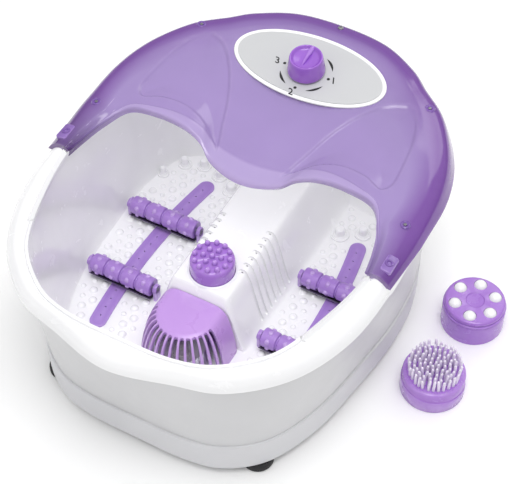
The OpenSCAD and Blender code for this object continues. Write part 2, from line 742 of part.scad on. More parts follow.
module ball(k) {
  color(white) at_ball_head() rotate([0, 0, 60 * (k - 1) + ball_turn])
    translate([ball_ring_r, 0, head_h - ball_sink]) sphere(r = ball_r);
}

BRISTLE_RINGS = [[0, 1], [5, 6], [10, 12], [15, 18], [20, 24], [25, 30]];
cup_h = head_h - 6;
module brush_head_cup() {
  color(lilac) translate(concat(parked(BRUSH_HEAD), 0)) rotate_extrude($fn = 64)
    head_shell(head_r, cup_h, 12);
}

module brush_bristles() {
  color("thistle") translate(concat(parked(BRUSH_HEAD), cup_h - 4))
    for (ring = BRISTLE_RINGS, k = [0 : ring[1] - 1])
      rotate([0, 0, 360 * k / ring[1] + ring[0] * 7]) translate([ring[0], 0, 0])
        cylinder(r1 = 1.5, r2 = 1, h = bristle_l + 4, $fn = 16);
}

// ---------------------------------------------------------------- under the floor
plate_z = floor_z - tub_wall - 1.8;
module heating_plate() {
  color(metal) for (s = [-1, 1]) translate([s * 92 * sx, 0, plate_z]) difference() {
    translate([-22, -62, 0]) cube([44, 124, 1.5]);
    for (y = [-50, 50]) translate([0, y, -1]) cylinder(r = 2, h = 4);
  }
}

module thermostat() {
  color("black") translate([92 * sx, 20, plate_z - 9.1]) {
    cylinder(r = 9, h = 9);
    translate([-14, -3, 3]) cube([28, 6, 1.5]);
  }
}

// Motor, weight and blower lie along the ridge, on one shaft
drive_z = floor_z + 18;
motor_y = 42;
motor_end = motor_y + motor_l / 2;
wheel_t = 12;
blower_y = motor_end + 5;
blower_l = wheel_t + 6;
drive_shaft_r = 1.6;
blower_r = impeller_r + 5;
module along_y(y) {
  translate([0, y, drive_z]) rotate([-90, 0, 0]) children();
}

module motor_housing() {
  color(metal) along_y(motor_y - motor_l / 2) difference() {
    union() {
      cylinder(r = motor_r, h = motor_l);
      translate([0, 0, -3]) cylinder(r = 6, h = 4);
    }
    translate([0, 0, -5]) cylinder(r = drive_shaft_r + run_gap, h = motor_l + 10);
  }
}

shaft_front = motor_y - motor_l / 2 - 16;
module motor_shaft() {
  color("dimgray") along_y(shaft_front)
    cylinder(r = drive_shaft_r, h = blower_y + blower_l - 4 - shaft_front);
}

weight_r = 13;
weight_t = 8;
module eccentric_weight() {
  color("gray") along_y(shaft_front + 2) difference() {
    union() {
      cylinder(r = 5, h = weight_t);
      intersection() {
        cylinder(r = weight_r, h = weight_t);
        translate([-weight_r, 0, 0]) cube([2 * weight_r, weight_r, weight_t]);
      }
    }
    translate([0, 0, -1]) cylinder(r = drive_shaft_r, h = weight_t + 2);
  }
}

blade_count = 8;
module impeller() {
  color("gray") along_y(blower_y + 4) difference() {
    union() {
      cylinder(r = impeller_r, h = 1.5);
      cylinder(r = 4.5, h = wheel_t - 2);
      for (k = [0 : blade_count - 1]) rotate([0, 0, 360 * k / blade_count]) translate([3.5, -0.6, 1])
        cube([impeller_r - 4.5, 1.2, wheel_t - 5]);
    }
    translate([0, 0, -1]) cylinder(r = drive_shaft_r, h = wheel_t + 2);
  }
}

module blower_housing() {
  color("dimgray") difference() {
    union() {
      along_y(blower_y) cylinder(r = blower_r, h = blower_l);
      translate([-6, blower_y, drive_z - blower_r - 4]) cube([12, blower_l, 12]);
    }
    along_y(blower_y + 2) cylinder(r = blower_r - 2, h = blower_l);
    along_y(blower_y - 1) cylinder(r = drive_shaft_r + 0.6, h = 5);
    translate([-4, blower_y + 2.5, drive_z - blower_r - 6]) cube([8, blower_l - 5, 14]);
  }
}

cover_t = 2;
module blower_cover() {
  color("dimgray") along_y(blower_y + blower_l + 0.05) difference() {
    cylinder(r = blower_r, h = cover_t);
    translate([0, 0, -1]) cylinder(r = 7, h = cover_t + 2);
  }
}

bracket_w = 2 * motor_r + 8;
bracket_z = pan_z + plate_t + 0.1;
module motor_bracket() {
  color(metal) difference() {
    translate([-bracket_w / 2, motor_y - 9, bracket_z]) cube([bracket_w, 18, drive_z - bracket_z]);
    along_y(motor_y - 20) cylinder(r = motor_r + 0.05, h = 40);
    translate([-bracket_w / 2 + 7, motor_y - 10, bracket_z + 3]) cube([bracket_w - 14, 20, 16]);
    for (s = [-1, 1]) translate([s * (bracket_w / 2 - 3), motor_y, bracket_z - 1]) cylinder(r = 1.5, h = 12);
  }
}

module motor_screws() {
  color(metal) for (s = [-1, 1]) translate([s * (bracket_w / 2 - 3), motor_y, pan_z + 0.6])
    cylinder(r = 1.4, h = 11);
}

manifold_y = blower_y + blower_l / 2;
manifold_z = drive_z - blower_r - 4.2;
hose_r = 4;
module air_manifold() {
  color("dimgray") difference() {
    union() {
      translate([-9, manifold_y - 9, manifold_z - 10]) cube([18, 18, 10]);
      translate([-18, manifold_y, manifold_z - 5]) rotate([0, 90, 0]) cylinder(r = hose_r - 1.4, h = 36);
    }
    translate([-6, manifold_y - 6, manifold_z - 8]) cube([12, 12, 12]);
    translate([-30, manifold_y, manifold_z - 5]) rotate([0, 90, 0]) cylinder(r = hose_r - 2.2, h = 60);
  }
}

// A hose runs from the manifold's nipple out under its strip
hose_bend = 12;
hose_z = manifold_z - 5;
module air_hose(s) {
  reach = 92 * sx - 10 - hose_bend;
  color("white", 0.6) {
    translate([s * 10, manifold_y, hose_z]) rotate([0, s * 90, 0]) difference() {
      cylinder(r = hose_r, h = reach);
      translate([0, 0, -1]) cylinder(r = hose_r - 1.35, h = reach + 2);
    }
    translate([s * (10 + reach), manifold_y - hose_bend, hose_z]) rotate([0, 0, s > 0 ? 0 : 90])
      rotate_extrude(angle = 90, $fn = 48) translate([hose_bend, 0]) difference() {
        circle(r = hose_r);
        circle(r = hose_r - 1.35);
      }
  }
}

module terminal_block() {
  color("ivory") translate([gland_x - 16, 132 * sy, pan_z + plate_t + 0.1]) difference() {
    cube([32, 12, 11]);
    for (i = [0 : 2]) translate([6 + 10 * i, 6, 3]) cylinder(r = 2, h = 12);
  }
}

cord_r = 3.6;
gland_in = 14;
gland_out = 8;
gland_x = 56 * sx;
gland_z = 27;
gland_r = 7;
// Where the back wall of the pan stands behind the gland
gland_y = at(BASE, 9.28).y;
module cord_gland() {
  color("black") translate([gland_x, gland_y - gland_in, gland_z]) rotate([-90, 0, 0]) difference() {
    union() {
      cylinder(r = gland_r, h = gland_in + gland_out);
      translate([0, 0, gland_in + gland_out - 3]) cylinder(r = gland_r + 3, h = 3);
      cylinder(r = gland_r + 3, h = 3);
    }
    translate([0, 0, -1]) cylinder(r = cord_r, h = gland_in + gland_out + 2);
  }
}

tub();
outer_casing();
base_pan();
feet();
base_screws();
splash_guard();
guard_screws();
panel_bezel();
panel_label();
control_housing();
rotary_switch();
switch_nut();
knob();
switch_shaft();
roller(-1, roller_front_y);  // roller_left_front
roller(-1, roller_rear_y);  // roller_left_rear
roller(1, roller_front_y);  // roller_right_front
roller(1, roller_rear_y);  // roller_right_rear
axle(-1, roller_front_y);  // axle_left_front
axle(-1, roller_rear_y);  // axle_left_rear
axle(1, roller_front_y);  // axle_right_front
axle(1, roller_rear_y);  // axle_right_rear
roller_brackets();
bubble_strip(-1);  // bubble_strip_left
bubble_strip(1);  // bubble_strip_right
lamp_cover();
lamp_reflector();
lamp_lens();
lamp_bulbs();
head_holder();
nub_head();
ball_head_cup();
ball_head_lid();
ball(1);  // ball_1
ball(2);  // ball_2
ball(3);  // ball_3
ball(4);  // ball_4
ball(5);  // ball_5
ball(6);  // ball_6
brush_head_cup();
brush_bristles();
heating_plate();
thermostat();
motor_housing();
motor_shaft();
eccentric_weight();
impeller();
blower_housing();
blower_cover();
motor_bracket();
motor_screws();
air_manifold();
air_hose(-1);  // air_hose_left
air_hose(1);  // air_hose_right
terminal_block();
cord_gland();
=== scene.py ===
"""Looks of a foot spa basin: a nubbed white tub, its lilac splash guard, and three massage heads.

Every length in this file is in millimetres until a mesh is made, which is in metres, as the frame is.
"""

import json
import logging
import math
from dataclasses import dataclass, field
from enum import Enum
from typing import Callable, Iterable, Sequence

import bmesh
import bpy
import numpy as np
from mathutils import Matrix, Vector


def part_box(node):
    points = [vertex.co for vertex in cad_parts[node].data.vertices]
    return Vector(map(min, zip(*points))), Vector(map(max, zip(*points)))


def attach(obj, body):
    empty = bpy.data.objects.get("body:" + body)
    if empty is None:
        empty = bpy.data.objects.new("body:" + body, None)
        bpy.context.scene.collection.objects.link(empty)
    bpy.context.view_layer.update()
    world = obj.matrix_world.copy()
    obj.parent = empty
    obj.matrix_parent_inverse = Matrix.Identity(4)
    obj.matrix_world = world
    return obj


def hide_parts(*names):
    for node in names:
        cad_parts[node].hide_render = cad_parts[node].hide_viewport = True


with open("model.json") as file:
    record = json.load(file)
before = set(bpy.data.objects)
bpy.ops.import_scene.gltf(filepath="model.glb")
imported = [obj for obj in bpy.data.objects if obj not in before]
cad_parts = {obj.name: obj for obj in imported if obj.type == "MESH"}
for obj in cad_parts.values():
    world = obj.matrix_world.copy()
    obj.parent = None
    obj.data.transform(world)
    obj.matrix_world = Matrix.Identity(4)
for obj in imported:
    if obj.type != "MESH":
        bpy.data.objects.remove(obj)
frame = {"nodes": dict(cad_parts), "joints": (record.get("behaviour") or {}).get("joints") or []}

log = logging.getLogger("foot_spa")
MM = 0.001
Pair = tuple[float, float]
Colour = tuple[float, float, float]


class Body(Enum):
    """Bodies that the pieces ride on."""

    BASIN = "basin"
    KNOB = "knob_set"
    NUB_HEAD = "nub_head"
    BALL_HEAD = "ball_head"
    BRUSH_HEAD = "brush_head"


class Side(Enum):
    """Which side of the basin a piece is on."""

    LEFT = -1
    RIGHT = 1


class Row(Enum):
    """Which row of rollers a roller is in."""

    FRONT = "front"
    REAR = "rear"


class Cut(Enum):
    """How a cutter acts on a solid."""

    AWAY = "DIFFERENCE"
    JOIN = "UNION"


# ---------------------------------------------------------------- curves and sizes
def smooth(share: np.ndarray | float) -> np.ndarray:
    """Eases a share from 0 to 1.

    Args:
        share: Any numbers; those outside 0 to 1 are cut off.

    Returns:
        The eased shares.
    """
    cut = np.clip(share, 0.0, 1.0)
    return cut * cut * (3 - 2 * cut)


def between(a: np.ndarray | float, b: np.ndarray | float, share: np.ndarray | float) -> np.ndarray:
    """Returns what lies the given share of the way from a to b."""
    return a * (1 - share) + b * share


def spline(a: np.ndarray, b: np.ndarray, c: np.ndarray, d: np.ndarray, share: np.ndarray) -> np.ndarray:
    """Makes points of the Catmull-Rom curve through b and c, at the given shares of the way.

    Args:
        a: The knot before the stretch.
        b: The knot where the stretch starts.
        c: The knot where it ends.
        d: The knot after it.
        share: Shares of the way from b to c.

    Returns:
        The points.
    """
    return 0.5 * (
        2 * b
        + (c - a) * share
        + (2 * a - 5 * b + 4 * c - d) * share**2
        + (3 * b - a - 3 * c + d) * share**3
    )


def through(knots: np.ndarray, places: np.ndarray) -> np.ndarray:
    """Follows an open row of knots with a smooth curve.

    Args:
        knots: The knots, along the first axis; each may itself be a whole ring of points.
        places: Where the points are wanted, counted in knots from the first one.

    Returns:
        The points, along the first axis.
    """
    last = len(knots) - 1
    start = np.clip(np.floor(places).astype(int), 0, last - 1)
    share = (places - start).reshape((-1,) + (1,) * (knots.ndim - 1))
    padded = np.concatenate([2 * knots[:1] - knots[1:2], knots, 2 * knots[-1:] - knots[-2:-1]])
    return spline(*(padded[start + step] for step in range(4)), share)


def unit(vectors: np.ndarray) -> np.ndarray:
    """Returns vectors of length 1."""
    return vectors / np.maximum(np.linalg.norm(vectors, axis=-1, keepdims=True), 1e-9)


def box_mm(node: str) -> tuple[np.ndarray, np.ndarray]:
    """Returns the lowest and highest corner of a node of the frame, in millimetres."""
    low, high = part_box(node)
    return np.array(low) / MM, np.array(high) / MM


@dataclass(frozen=True)
class Outline:
    """A closed plan outline, mirrored about the middle.

    Attributes:
        half: Its knots on the right side, from the front middle to the back middle.
    """

    half: tuple[Pair, ...]

    def at(self, places: np.ndarray) -> np.ndarray:
        """Makes points at places counted in knots, anticlockwise from the front middle.

        Args:
            places: The places, in knots.

        Returns:
            The points.
        """
        half = np.array(self.half, float)
        loop = np.vstack([half, half[-2:0:-1] * (-1, 1)])
        start = np.floor(places).astype(int)
        share = (places - start)[..., None]
        return spline(*(loop[(start + step) % len(loop)] for step in (-1, 0, 1, 2)), share) * STRETCH

    def ring(self, count: int, out: float = 0.0) -> np.ndarray:
        """Makes count points round the loop, moved outwards by a distance.

        Args:
            count: How many points.
            out: The move outwards.

        Returns:
            The points.
        """
        places = np.arange(count) * (2 * (len(self.half) - 1) / count)
        along = unit(self.at(places + 0.05) - self.at(places - 0.05))
        return self.at(places) + np.stack([along[:, 1], -along[:, 0]], 1) * out


# The outlines were drawn for a rim of this width and length, without its carry handle
DRAWN_RIM = np.array([344.0, 442.0])
_tub_low, _tub_high = box_mm("tub")
STRETCH = (_tub_high - _tub_low)[:2] / DRAWN_RIM
BASE = Outline(((0, -166), (50, -165), (86, -156), (119, -128), (141, -78), (152, -20), (159, 40),
                (155, 98), (132, 152), (79, 190), (0, 200)))
WALL_TOP = Outline(((0, -187), (52, -183), (94, -166), (131, -131), (155, -78), (164, -20), (167, 40),
                    (162, 98), (139, 155), (90, 196), (0, 212)))
RIM_OUT = Outline(((0, -199), (57, -186), (100, -172), (141, -134), (165, -80), (172, -20), (171, 40),
                   (167, 98), (146, 158), (96, 203), (0, 243)))
RIM_IN = Outline(((0, -178), (50, -176), (88, -163), (124, -128), (144, -72), (153.5, -20), (155, 40),
                  (151, 95), (133, 146), (82, 176), (0, 186)))
FLOOR = Outline(((0, -150), (45, -148), (80, -138), (110, -112), (130, -66), (138, -20), (142, 40),
                 (142, 92), (125, 141), (74, 160), (0, 163)))


# ---------------------------------------------------------------- meshes
@dataclass
class Shape:
    """Points in millimetres and the faces between them.

    Attributes:
        points: One row for each point.
        faces: Tuples of point numbers.
        marks: A pair of numbers for each point, which become its place in the UV map.
    """

    points: np.ndarray
    faces: list[tuple[int, ...]]
    marks: np.ndarray | None = None

    def placed(self, offset: Sequence[float] = (0, 0, 0), turn: Matrix | None = None) -> "Shape":
        """Returns the shape turned and then moved."""
        points = self.points if turn is None else self.points @ np.array(turn.to_3x3()).T
        return Shape(points + np.array(offset, float), self.faces, self.marks)

    def mirrored(self) -> "Shape":
        """Returns the shape on the other side of the middle."""
        return Shape(self.points * (-1, 1, 1), [face[::-1] for face in self.faces], self.marks)

    @staticmethod
    def joined(shapes: Iterable["Shape"]) -> "Shape":
        """Joins several shapes into one.

        Args:
            shapes: The shapes.

        Returns:
            The joined shape.
        """
        points, faces, base = [], [], 0
        for shape in shapes:
            points.append(shape.points)
            faces += [tuple(number + base for number in face) for face in shape.faces]
            base += len(shape.points)
        return Shape(np.vstack(points), faces)


def quads(rows: int, columns: int, closed: bool) -> list[tuple[int, ...]]:
    """Returns the faces of a grid of points.

    Args:
        rows: Rows of points.
        columns: Points in each row.
        closed: Whether each row runs back into its own start.

    Returns:
        Four point numbers for each face.
    """
    steps = range(columns if closed else columns - 1)
    return [
        (row * columns + step, row * columns + (step + 1) % columns,
         (row + 1) * columns + (step + 1) % columns, (row + 1) * columns + step)
        for row in range(rows - 1)
        for step in steps
    ]


def loft(rings: np.ndarray, capped: bool = True) -> Shape:
    """Skins a stack of closed rings.

    Args:
        rings: The rings' points, as (ring, point, xyz).
        capped: Whether the first and the last ring are filled in.

    Returns:
        The skin.
    """
    count, around = rings.shape[:2]
    faces = quads(count, around, True)
    if capped:
        faces += [tuple(range(around))[::-1], tuple(range((count - 1) * around, count * around))]
    return Shape(rings.reshape(-1, 3), faces)


def eased(profile: Sequence[Pair], radius: float = 0.6, steps: int = 4) -> list[Pair]:
    """Rounds the inner corners of a profile.

    Args:
        profile: Its corners.
        radius: How far before and after a corner its round starts, at the most.
        steps: Points on each round, less one.

    Returns:
        The profile with a short curve at each corner.
    """
    corners = [np.array(corner, float) for corner in profile]
    made = [corners[0]]
    for before, corner, after in zip(corners, corners[1:], corners[2:]):
        reach = min(radius, *(0.45 * np.linalg.norm(end - corner) for end in (before, after)))
        start, end = (corner + unit(other - corner) * reach for other in (before, after))
        for share in np.linspace(0, 1, steps + 1):
            made.append(between(between(start, corner, share), between(corner, end, share), share))
    return [tuple(point) for point in (*made, corners[-1])]


def revolve(profile: Sequence[Pair], count: int = 72) -> Shape:
    """Turns a profile of (radius, height) pairs round the Z axis.

    Args:
        profile: The (radius, height) pairs.
        count: How many steps the turn has.

    Returns:
        The shape.
    """
    angles = np.arange(count) * math.tau / count
    table = np.array(profile, float)
    rings = np.zeros((len(table), count, 3))
    rings[..., 0] = table[:, :1] * np.cos(angles)
    rings[..., 1] = table[:, :1] * np.sin(angles)
    rings[..., 2] = table[:, 1:]
    return loft(rings, capped=False)


def dome(radius: float, height: float, foot: float = 1.2, sink: float = 1.0, count: int = 14) -> Shape:
    """Makes a low rounded nub on a spreading foot.

    Args:
        radius: Radius of the nub.
        height: How far it stands up.
        foot: The spread of its foot, as a factor of the radius.
        sink: How far it goes into what it stands on.
        count: Points around.

    Returns:
        The nub, standing on the origin.
    """
    profile = [(radius * foot, -sink), (radius * foot, 0), (radius * between(foot, 1, 0.6), height * 0.08)]
    profile += [(radius * math.cos(a),
                 height * (0.2 + 0.8 * math.sin(a))) for a in np.linspace(0.1, math.pi / 2, 6)]
    return revolve(profile, count)


def tube(path: np.ndarray, radius: float, count: int = 12) -> Shape:
    """Sweeps a round section along a path, with rounded ends.

    Args:
        path: The path's points.
        radius: Radius of the section.
        count: Points around.

    Returns:
        A closed skin.
    """
    along = unit(np.gradient(path, axis=0))
    side = unit(np.cross(along, np.where(np.abs(along[:, 2:]) < 0.9, (0, 0, 1), (1, 0, 0))))
    across = np.cross(along, side)
    angles = np.arange(count) * math.tau / count
    caps = [(-0.92, 0.4), (-0.6, 0.8)]
    rows = [(0, shift, size) for shift, size in caps] + [(i, 0, 1) for i in range(len(path))]
    rows += [(len(path) - 1, -shift, size) for shift, size in reversed(caps)]
    rings = np.array([
        path[i] + along[i] * shift * radius
        + (side[i] * np.cos(angles)[:, None] + across[i] * np.sin(angles)[:, None]) * radius * size
        for i, shift, size in rows
    ])
    return loft(rings)


def slab(size: Sequence[float], edge: float = 0.8) -> Shape:
    """Makes a block with chamfered upright and upper edges, standing on the origin's plane.

    Args:
        size: Its width, depth and height.
        edge: The chamfer's width.

    Returns:
        The shape.
    """
    wide, deep, high = size

    def ring(inset: float, z: float) -> list[tuple[float, float, float]]:
        """Makes an eight-cornered ring.

        Args:
            inset: How far inside the block the ring runs.
            z: Its height.

        Returns:
            Its corners.
        """
        x, y = wide / 2 - inset, deep / 2 - inset
        return [(x, -y + edge, z), (x, y - edge, z), (x - edge, y, z), (-x + edge, y, z), (-x, y - edge, z),
                (-x, -y + edge, z), (-x + edge, -y, z), (x - edge, -y, z)]

    return loft(np.array([ring(0, 0), ring(0, high - edge), ring(edge * 0.3, high - edge * 0.3),
                          ring(edge, high)]))


def to_mesh(name: str, shape: Shape) -> bpy.types.Mesh:
    """Makes a clean mesh of a shape, in metres.

    Args:
        name: The mesh's name.
        shape: The shape.

    Returns:
        The mesh.
    """
    mesh = bpy.data.meshes.new(name)
    mesh.from_pydata((shape.points * MM).tolist(), [], shape.faces)
    if shape.marks is not None:
        layer = mesh.uv_layers.new(name="UVMap")
        numbers = np.zeros(len(mesh.loops), int)
        mesh.loops.foreach_get("vertex_index", numbers)
        layer.data.foreach_set("uv", shape.marks[numbers].astype(np.float32).ravel())
    work = bmesh.new()
    work.from_mesh(mesh)
    bmesh.ops.remove_doubles(work, verts=work.verts, dist=2e-6)
    bmesh.ops.dissolve_degenerate(work, edges=work.edges, dist=1e-6)
    bmesh.ops.recalc_face_normals(work, faces=work.faces)
    work.to_mesh(mesh)
    work.free()
    return mesh


def with_modifiers(mesh: bpy.types.Mesh, dress: Callable[[bpy.types.Object], None]) -> bpy.types.Mesh:
    """Applies modifiers to a mesh.

    Args:
        mesh: The mesh, which is used up.
        dress: Adds the modifiers to the object that it is given.

    Returns:
        A new mesh.
    """
    holder = bpy.data.objects.new(mesh.name, mesh)
    bpy.context.scene.collection.objects.link(holder)
    dress(holder)
    graph = bpy.context.evaluated_depsgraph_get()
    made = bpy.data.meshes.new_from_object(holder.evaluated_get(graph))
    bpy.data.objects.remove(holder)
    bpy.data.meshes.remove(mesh)
    return made


def thickened(mesh: bpy.types.Mesh, wall: float) -> bpy.types.Mesh:
    """Gives a skin a wall on its inner side.

    Args:
        mesh: The skin.
        wall: The wall's thickness.

    Returns:
        The mesh.
    """
    def dress(holder: bpy.types.Object) -> None:
        """Adds the wall.

        Args:
            holder: The object that holds the mesh.
        """
        modifier = holder.modifiers.new("wall", "SOLIDIFY")
        modifier.thickness = wall * MM
        modifier.offset = -1
        modifier.use_even_offset = False
    return with_modifiers(mesh, dress)


def carved(mesh: bpy.types.Mesh, cutters: Sequence[Shape], cut: Cut = Cut.AWAY) -> bpy.types.Mesh:
    """Takes cutters away from a closed mesh, or joins them to it, one after the other.

    Args:
        mesh: The closed mesh to cut.
        cutters: The cutters, none of which overlaps another.
        cut: Whether they cut, rather than join.

    Returns:
        The mesh.
    """
    tools = []
    def dress(holder: bpy.types.Object) -> None:
        """Adds one boolean for each cutter.

        Args:
            holder: The object that holds the mesh.
        """
        for number, cutter in enumerate(cutters):
            tool = bpy.data.objects.new(f"cutter_{number}", to_mesh("cutter", cutter))
            bpy.context.scene.collection.objects.link(tool)
            tools.append(tool)
            modifier = holder.modifiers.new("cut", "BOOLEAN")
            modifier.operation = cut.value
            modifier.solver = "MANIFOLD"
            modifier.object = tool
    made = with_modifiers(mesh, dress)
    for tool in tools:
        bpy.data.meshes.remove(tool.data)
    return made


def add_piece(
    name: str,
    mesh: bpy.types.Mesh | Shape,
    finish: "Finish",
    body: str = Body.BASIN.value,
    nodes: Sequence[str] = (),
    crease: float = 38.0,
) -> bpy.types.Object:
    """Puts a piece in the scene and ties it to the frame.

    Args:
        name: Name of the piece.
        mesh: Its mesh or its shape.
        finish: Its finish.
        body: The body that it rides on.
        nodes: The frame's nodes that it stands for.
        crease: Angle from which an edge is sharp, in degrees.

    Returns:
        The new object.
    """
    data = to_mesh(name, mesh) if isinstance(mesh, Shape) else mesh
    data.name = name
    data.polygons.foreach_set("use_smooth", [True] * len(data.polygons))
    data.set_sharp_from_angle(angle=math.radians(crease))
    data.materials.clear()
    data.materials.append(finish.material())
    piece = bpy.data.objects.new(name, data)
    bpy.context.scene.collection.objects.link(piece)
    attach(piece, body)
    if nodes:
        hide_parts(*nodes)
    log.info("piece %s on %s: %d faces", name, body, len(data.polygons))
    return piece


# ---------------------------------------------------------------- finishes
def linear(colour: Colour) -> tuple[float, float, float, float]:
    """Returns a screen colour, given as 0 to 255, as the shader wants it."""
    shares = [channel / 255 for channel in colour]
    return (*(s / 12.92 if s <= 0.04045 else ((s + 0.055) / 1.055) ** 2.4 for s in shares), 1.0)


class Wiring:
    """Adds and links the nodes of one tree."""

    def __init__(self, tree: bpy.types.NodeTree) -> None:
        """Keeps the tree."""
        self.tree = tree

    def add(self, kind: str, settings: dict[str, object] | None = None, **inputs: object) -> bpy.types.Node:
        """Adds a node.

        Args:
            kind: Its type, without the leading ShaderNode.
            settings: Properties of the node itself.
            inputs: Values or sockets for its inputs, named with _ for each space.

        Returns:
            The node.
        """
        node = self.tree.nodes.new(f"ShaderNode{kind}")
        for key, value in (settings or {}).items():
            setattr(node, key, value)
        for key, value in inputs.items():
            socket = next(s for s in node.inputs if s.name == key.replace("_", " ") and s.enabled)
            if isinstance(value, bpy.types.NodeSocket):
                self.tree.links.new(value, socket)
            else:
                socket.default_value = value
        return node

    def mix(self, share: bpy.types.NodeSocket, first: object, second: object) -> bpy.types.NodeSocket:
        """Mixes two colours by a share and returns the result.

        Args:
            share: How much of the second.
            first: The first colour.
            second: The second colour.

        Returns:
            The socket that holds the result.
        """
        node = self.tree.nodes.new("ShaderNodeMix")
        node.data_type = "RGBA"
        for number, value in ((0, share), (6, first), (7, second)):
            if isinstance(value, bpy.types.NodeSocket):
                self.tree.links.new(value, node.inputs[number])
            else:
                node.inputs[number].default_value = value
        return node.outputs[2]

    def math(self, operation: str, first: object, second: object = 0.0) -> bpy.types.NodeSocket:
        """Works out one operation on two numbers and returns the result.

        Args:
            operation: The name of the operation.
            first: The first number.
            second: The second number.

        Returns:
            The socket that holds the result.
        """
        node = self.tree.nodes.new("ShaderNodeMath")
        node.operation = operation
        for number, value in enumerate((first, second)):
            if isinstance(value, bpy.types.NodeSocket):
                self.tree.links.new(value, node.inputs[number])
            else:
                node.inputs[number].default_value = value
        return node.outputs[0]

    def ranged(self, value: bpy.types.NodeSocket, low: float, high: float,
               to: Pair) -> bpy.types.NodeSocket:
        """Maps a value's range from low to high onto another and returns the result."""
        node = self.add("MapRange", Value=value, From_Min=low, From_Max=high, To_Min=to[0], To_Max=to[1])
        return node.outputs["Result"]


def group(name: str, inputs: dict[str, float],
          outputs: dict[str, str]) -> tuple[bpy.types.NodeTree, Wiring]:
    """Starts a shader node group.

    Args:
        name: Name of the group.
        inputs: Its number inputs with their values.
        outputs: Its outputs with their socket types.

    Returns:
        The group and what wires it.
    """
    tree = bpy.data.node_groups.new(name, "ShaderNodeTree")
    for key, value in inputs.items():
        socket = tree.interface.new_socket(key, in_out="INPUT", socket_type="NodeSocketFloat")
        socket.default_value = value
    for key, kind in outputs.items():
        tree.interface.new_socket(key, in_out="OUTPUT", socket_type=kind)
    return tree, Wiring(tree)


def moulding_group() -> bpy.types.NodeTree:
    """Makes the group for a moulded surface: fine grain, slow waviness, and how tone and gloss vary.

    Returns:
        The node group.
    """
    known = bpy.data.node_groups.get("moulded_surface")
    if known:
        return known
    floats = {"Height": "NodeSocketFloat", "Tone": "NodeSocketFloat", "Gloss": "NodeSocketFloat"}
    tree, wire = group("moulded_surface", {"Grain Scale": 900.0, "Wave Scale": 18.0, "Wave": 0.2}, floats)
    start = tree.nodes.new("NodeGroupInput")
    end = tree.nodes.new("NodeGroupOutput")
    place = wire.add("TexCoord").outputs["Object"]
    grain = wire.add("TexNoise", Vector=place, Scale=start.outputs["Grain Scale"], Detail=3.0,
                     Roughness=0.6)
    wave = wire.add("TexNoise", Vector=place, Scale=start.outputs["Wave Scale"], Detail=1.0)
    tone = wire.add("TexNoise", Vector=place, Scale=7.0, Detail=4.0, Roughness=0.55)
    gloss = wire.add("TexNoise", Vector=place, Scale=46.0, Detail=5.0, Roughness=0.65, Distortion=0.4)
    waved = wire.math("MULTIPLY", wave.outputs[0], start.outputs["Wave"])
    height = wire.math("ADD", wire.math("MULTIPLY", grain.outputs[0], 0.05), waved)
    tree.links.new(height, end.inputs["Height"])
    tree.links.new(wire.ranged(tone.outputs[0], 0.3, 0.7, (0.0, 1.0)), end.inputs["Tone"])
    tree.links.new(wire.ranged(gloss.outputs[0], 0.3, 0.7, (0.0, 1.0)), end.inputs["Gloss"])
    return tree


def wear_group() -> bpy.types.NodeTree:
    """Makes the group for handling: a mask of exposed, broken edges, and fine scratches as a height.

    Returns:
        The node group.
    """
    known = bpy.data.node_groups.get("handling_wear")
    if known:
        return known
    floats = {"Edge": "NodeSocketFloat", "Scratch": "NodeSocketFloat"}
    tree, wire = group("handling_wear", {"Sharpness": 8.0, "Scratch Scale": 60.0}, floats)
    start = tree.nodes.new("NodeGroupInput")
    end = tree.nodes.new("NodeGroupOutput")
    place = wire.add("TexCoord").outputs["Object"]
    point = wire.add("NewGeometry").outputs["Pointiness"]
    raised = wire.math("MULTIPLY", wire.math("SUBTRACT", point, 0.5), start.outputs["Sharpness"])
    broken = wire.add("TexNoise", Vector=place, Scale=130.0, Detail=3.0).outputs[0]
    edge = wire.add("Math", {"operation": "MULTIPLY", "use_clamp": True})
    tree.links.new(raised, edge.inputs[0])
    tree.links.new(wire.ranged(broken, 0.3, 0.7, (0.4, 1.0)), edge.inputs[1])
    stretch = wire.add("Mapping", Vector=place, Scale=(1.0, 9.0, 1.0), Rotation=(0.3, 0.2, 0.7))
    lines = wire.add("TexNoise", Vector=stretch.outputs[0], Scale=start.outputs["Scratch Scale"],
                     Detail=2.0)
    tree.links.new(edge.outputs[0], end.inputs["Edge"])
    tree.links.new(wire.ranged(lines.outputs[0], 0.62, 0.72, (0.0, 1.0)), end.inputs["Scratch"])
    return tree


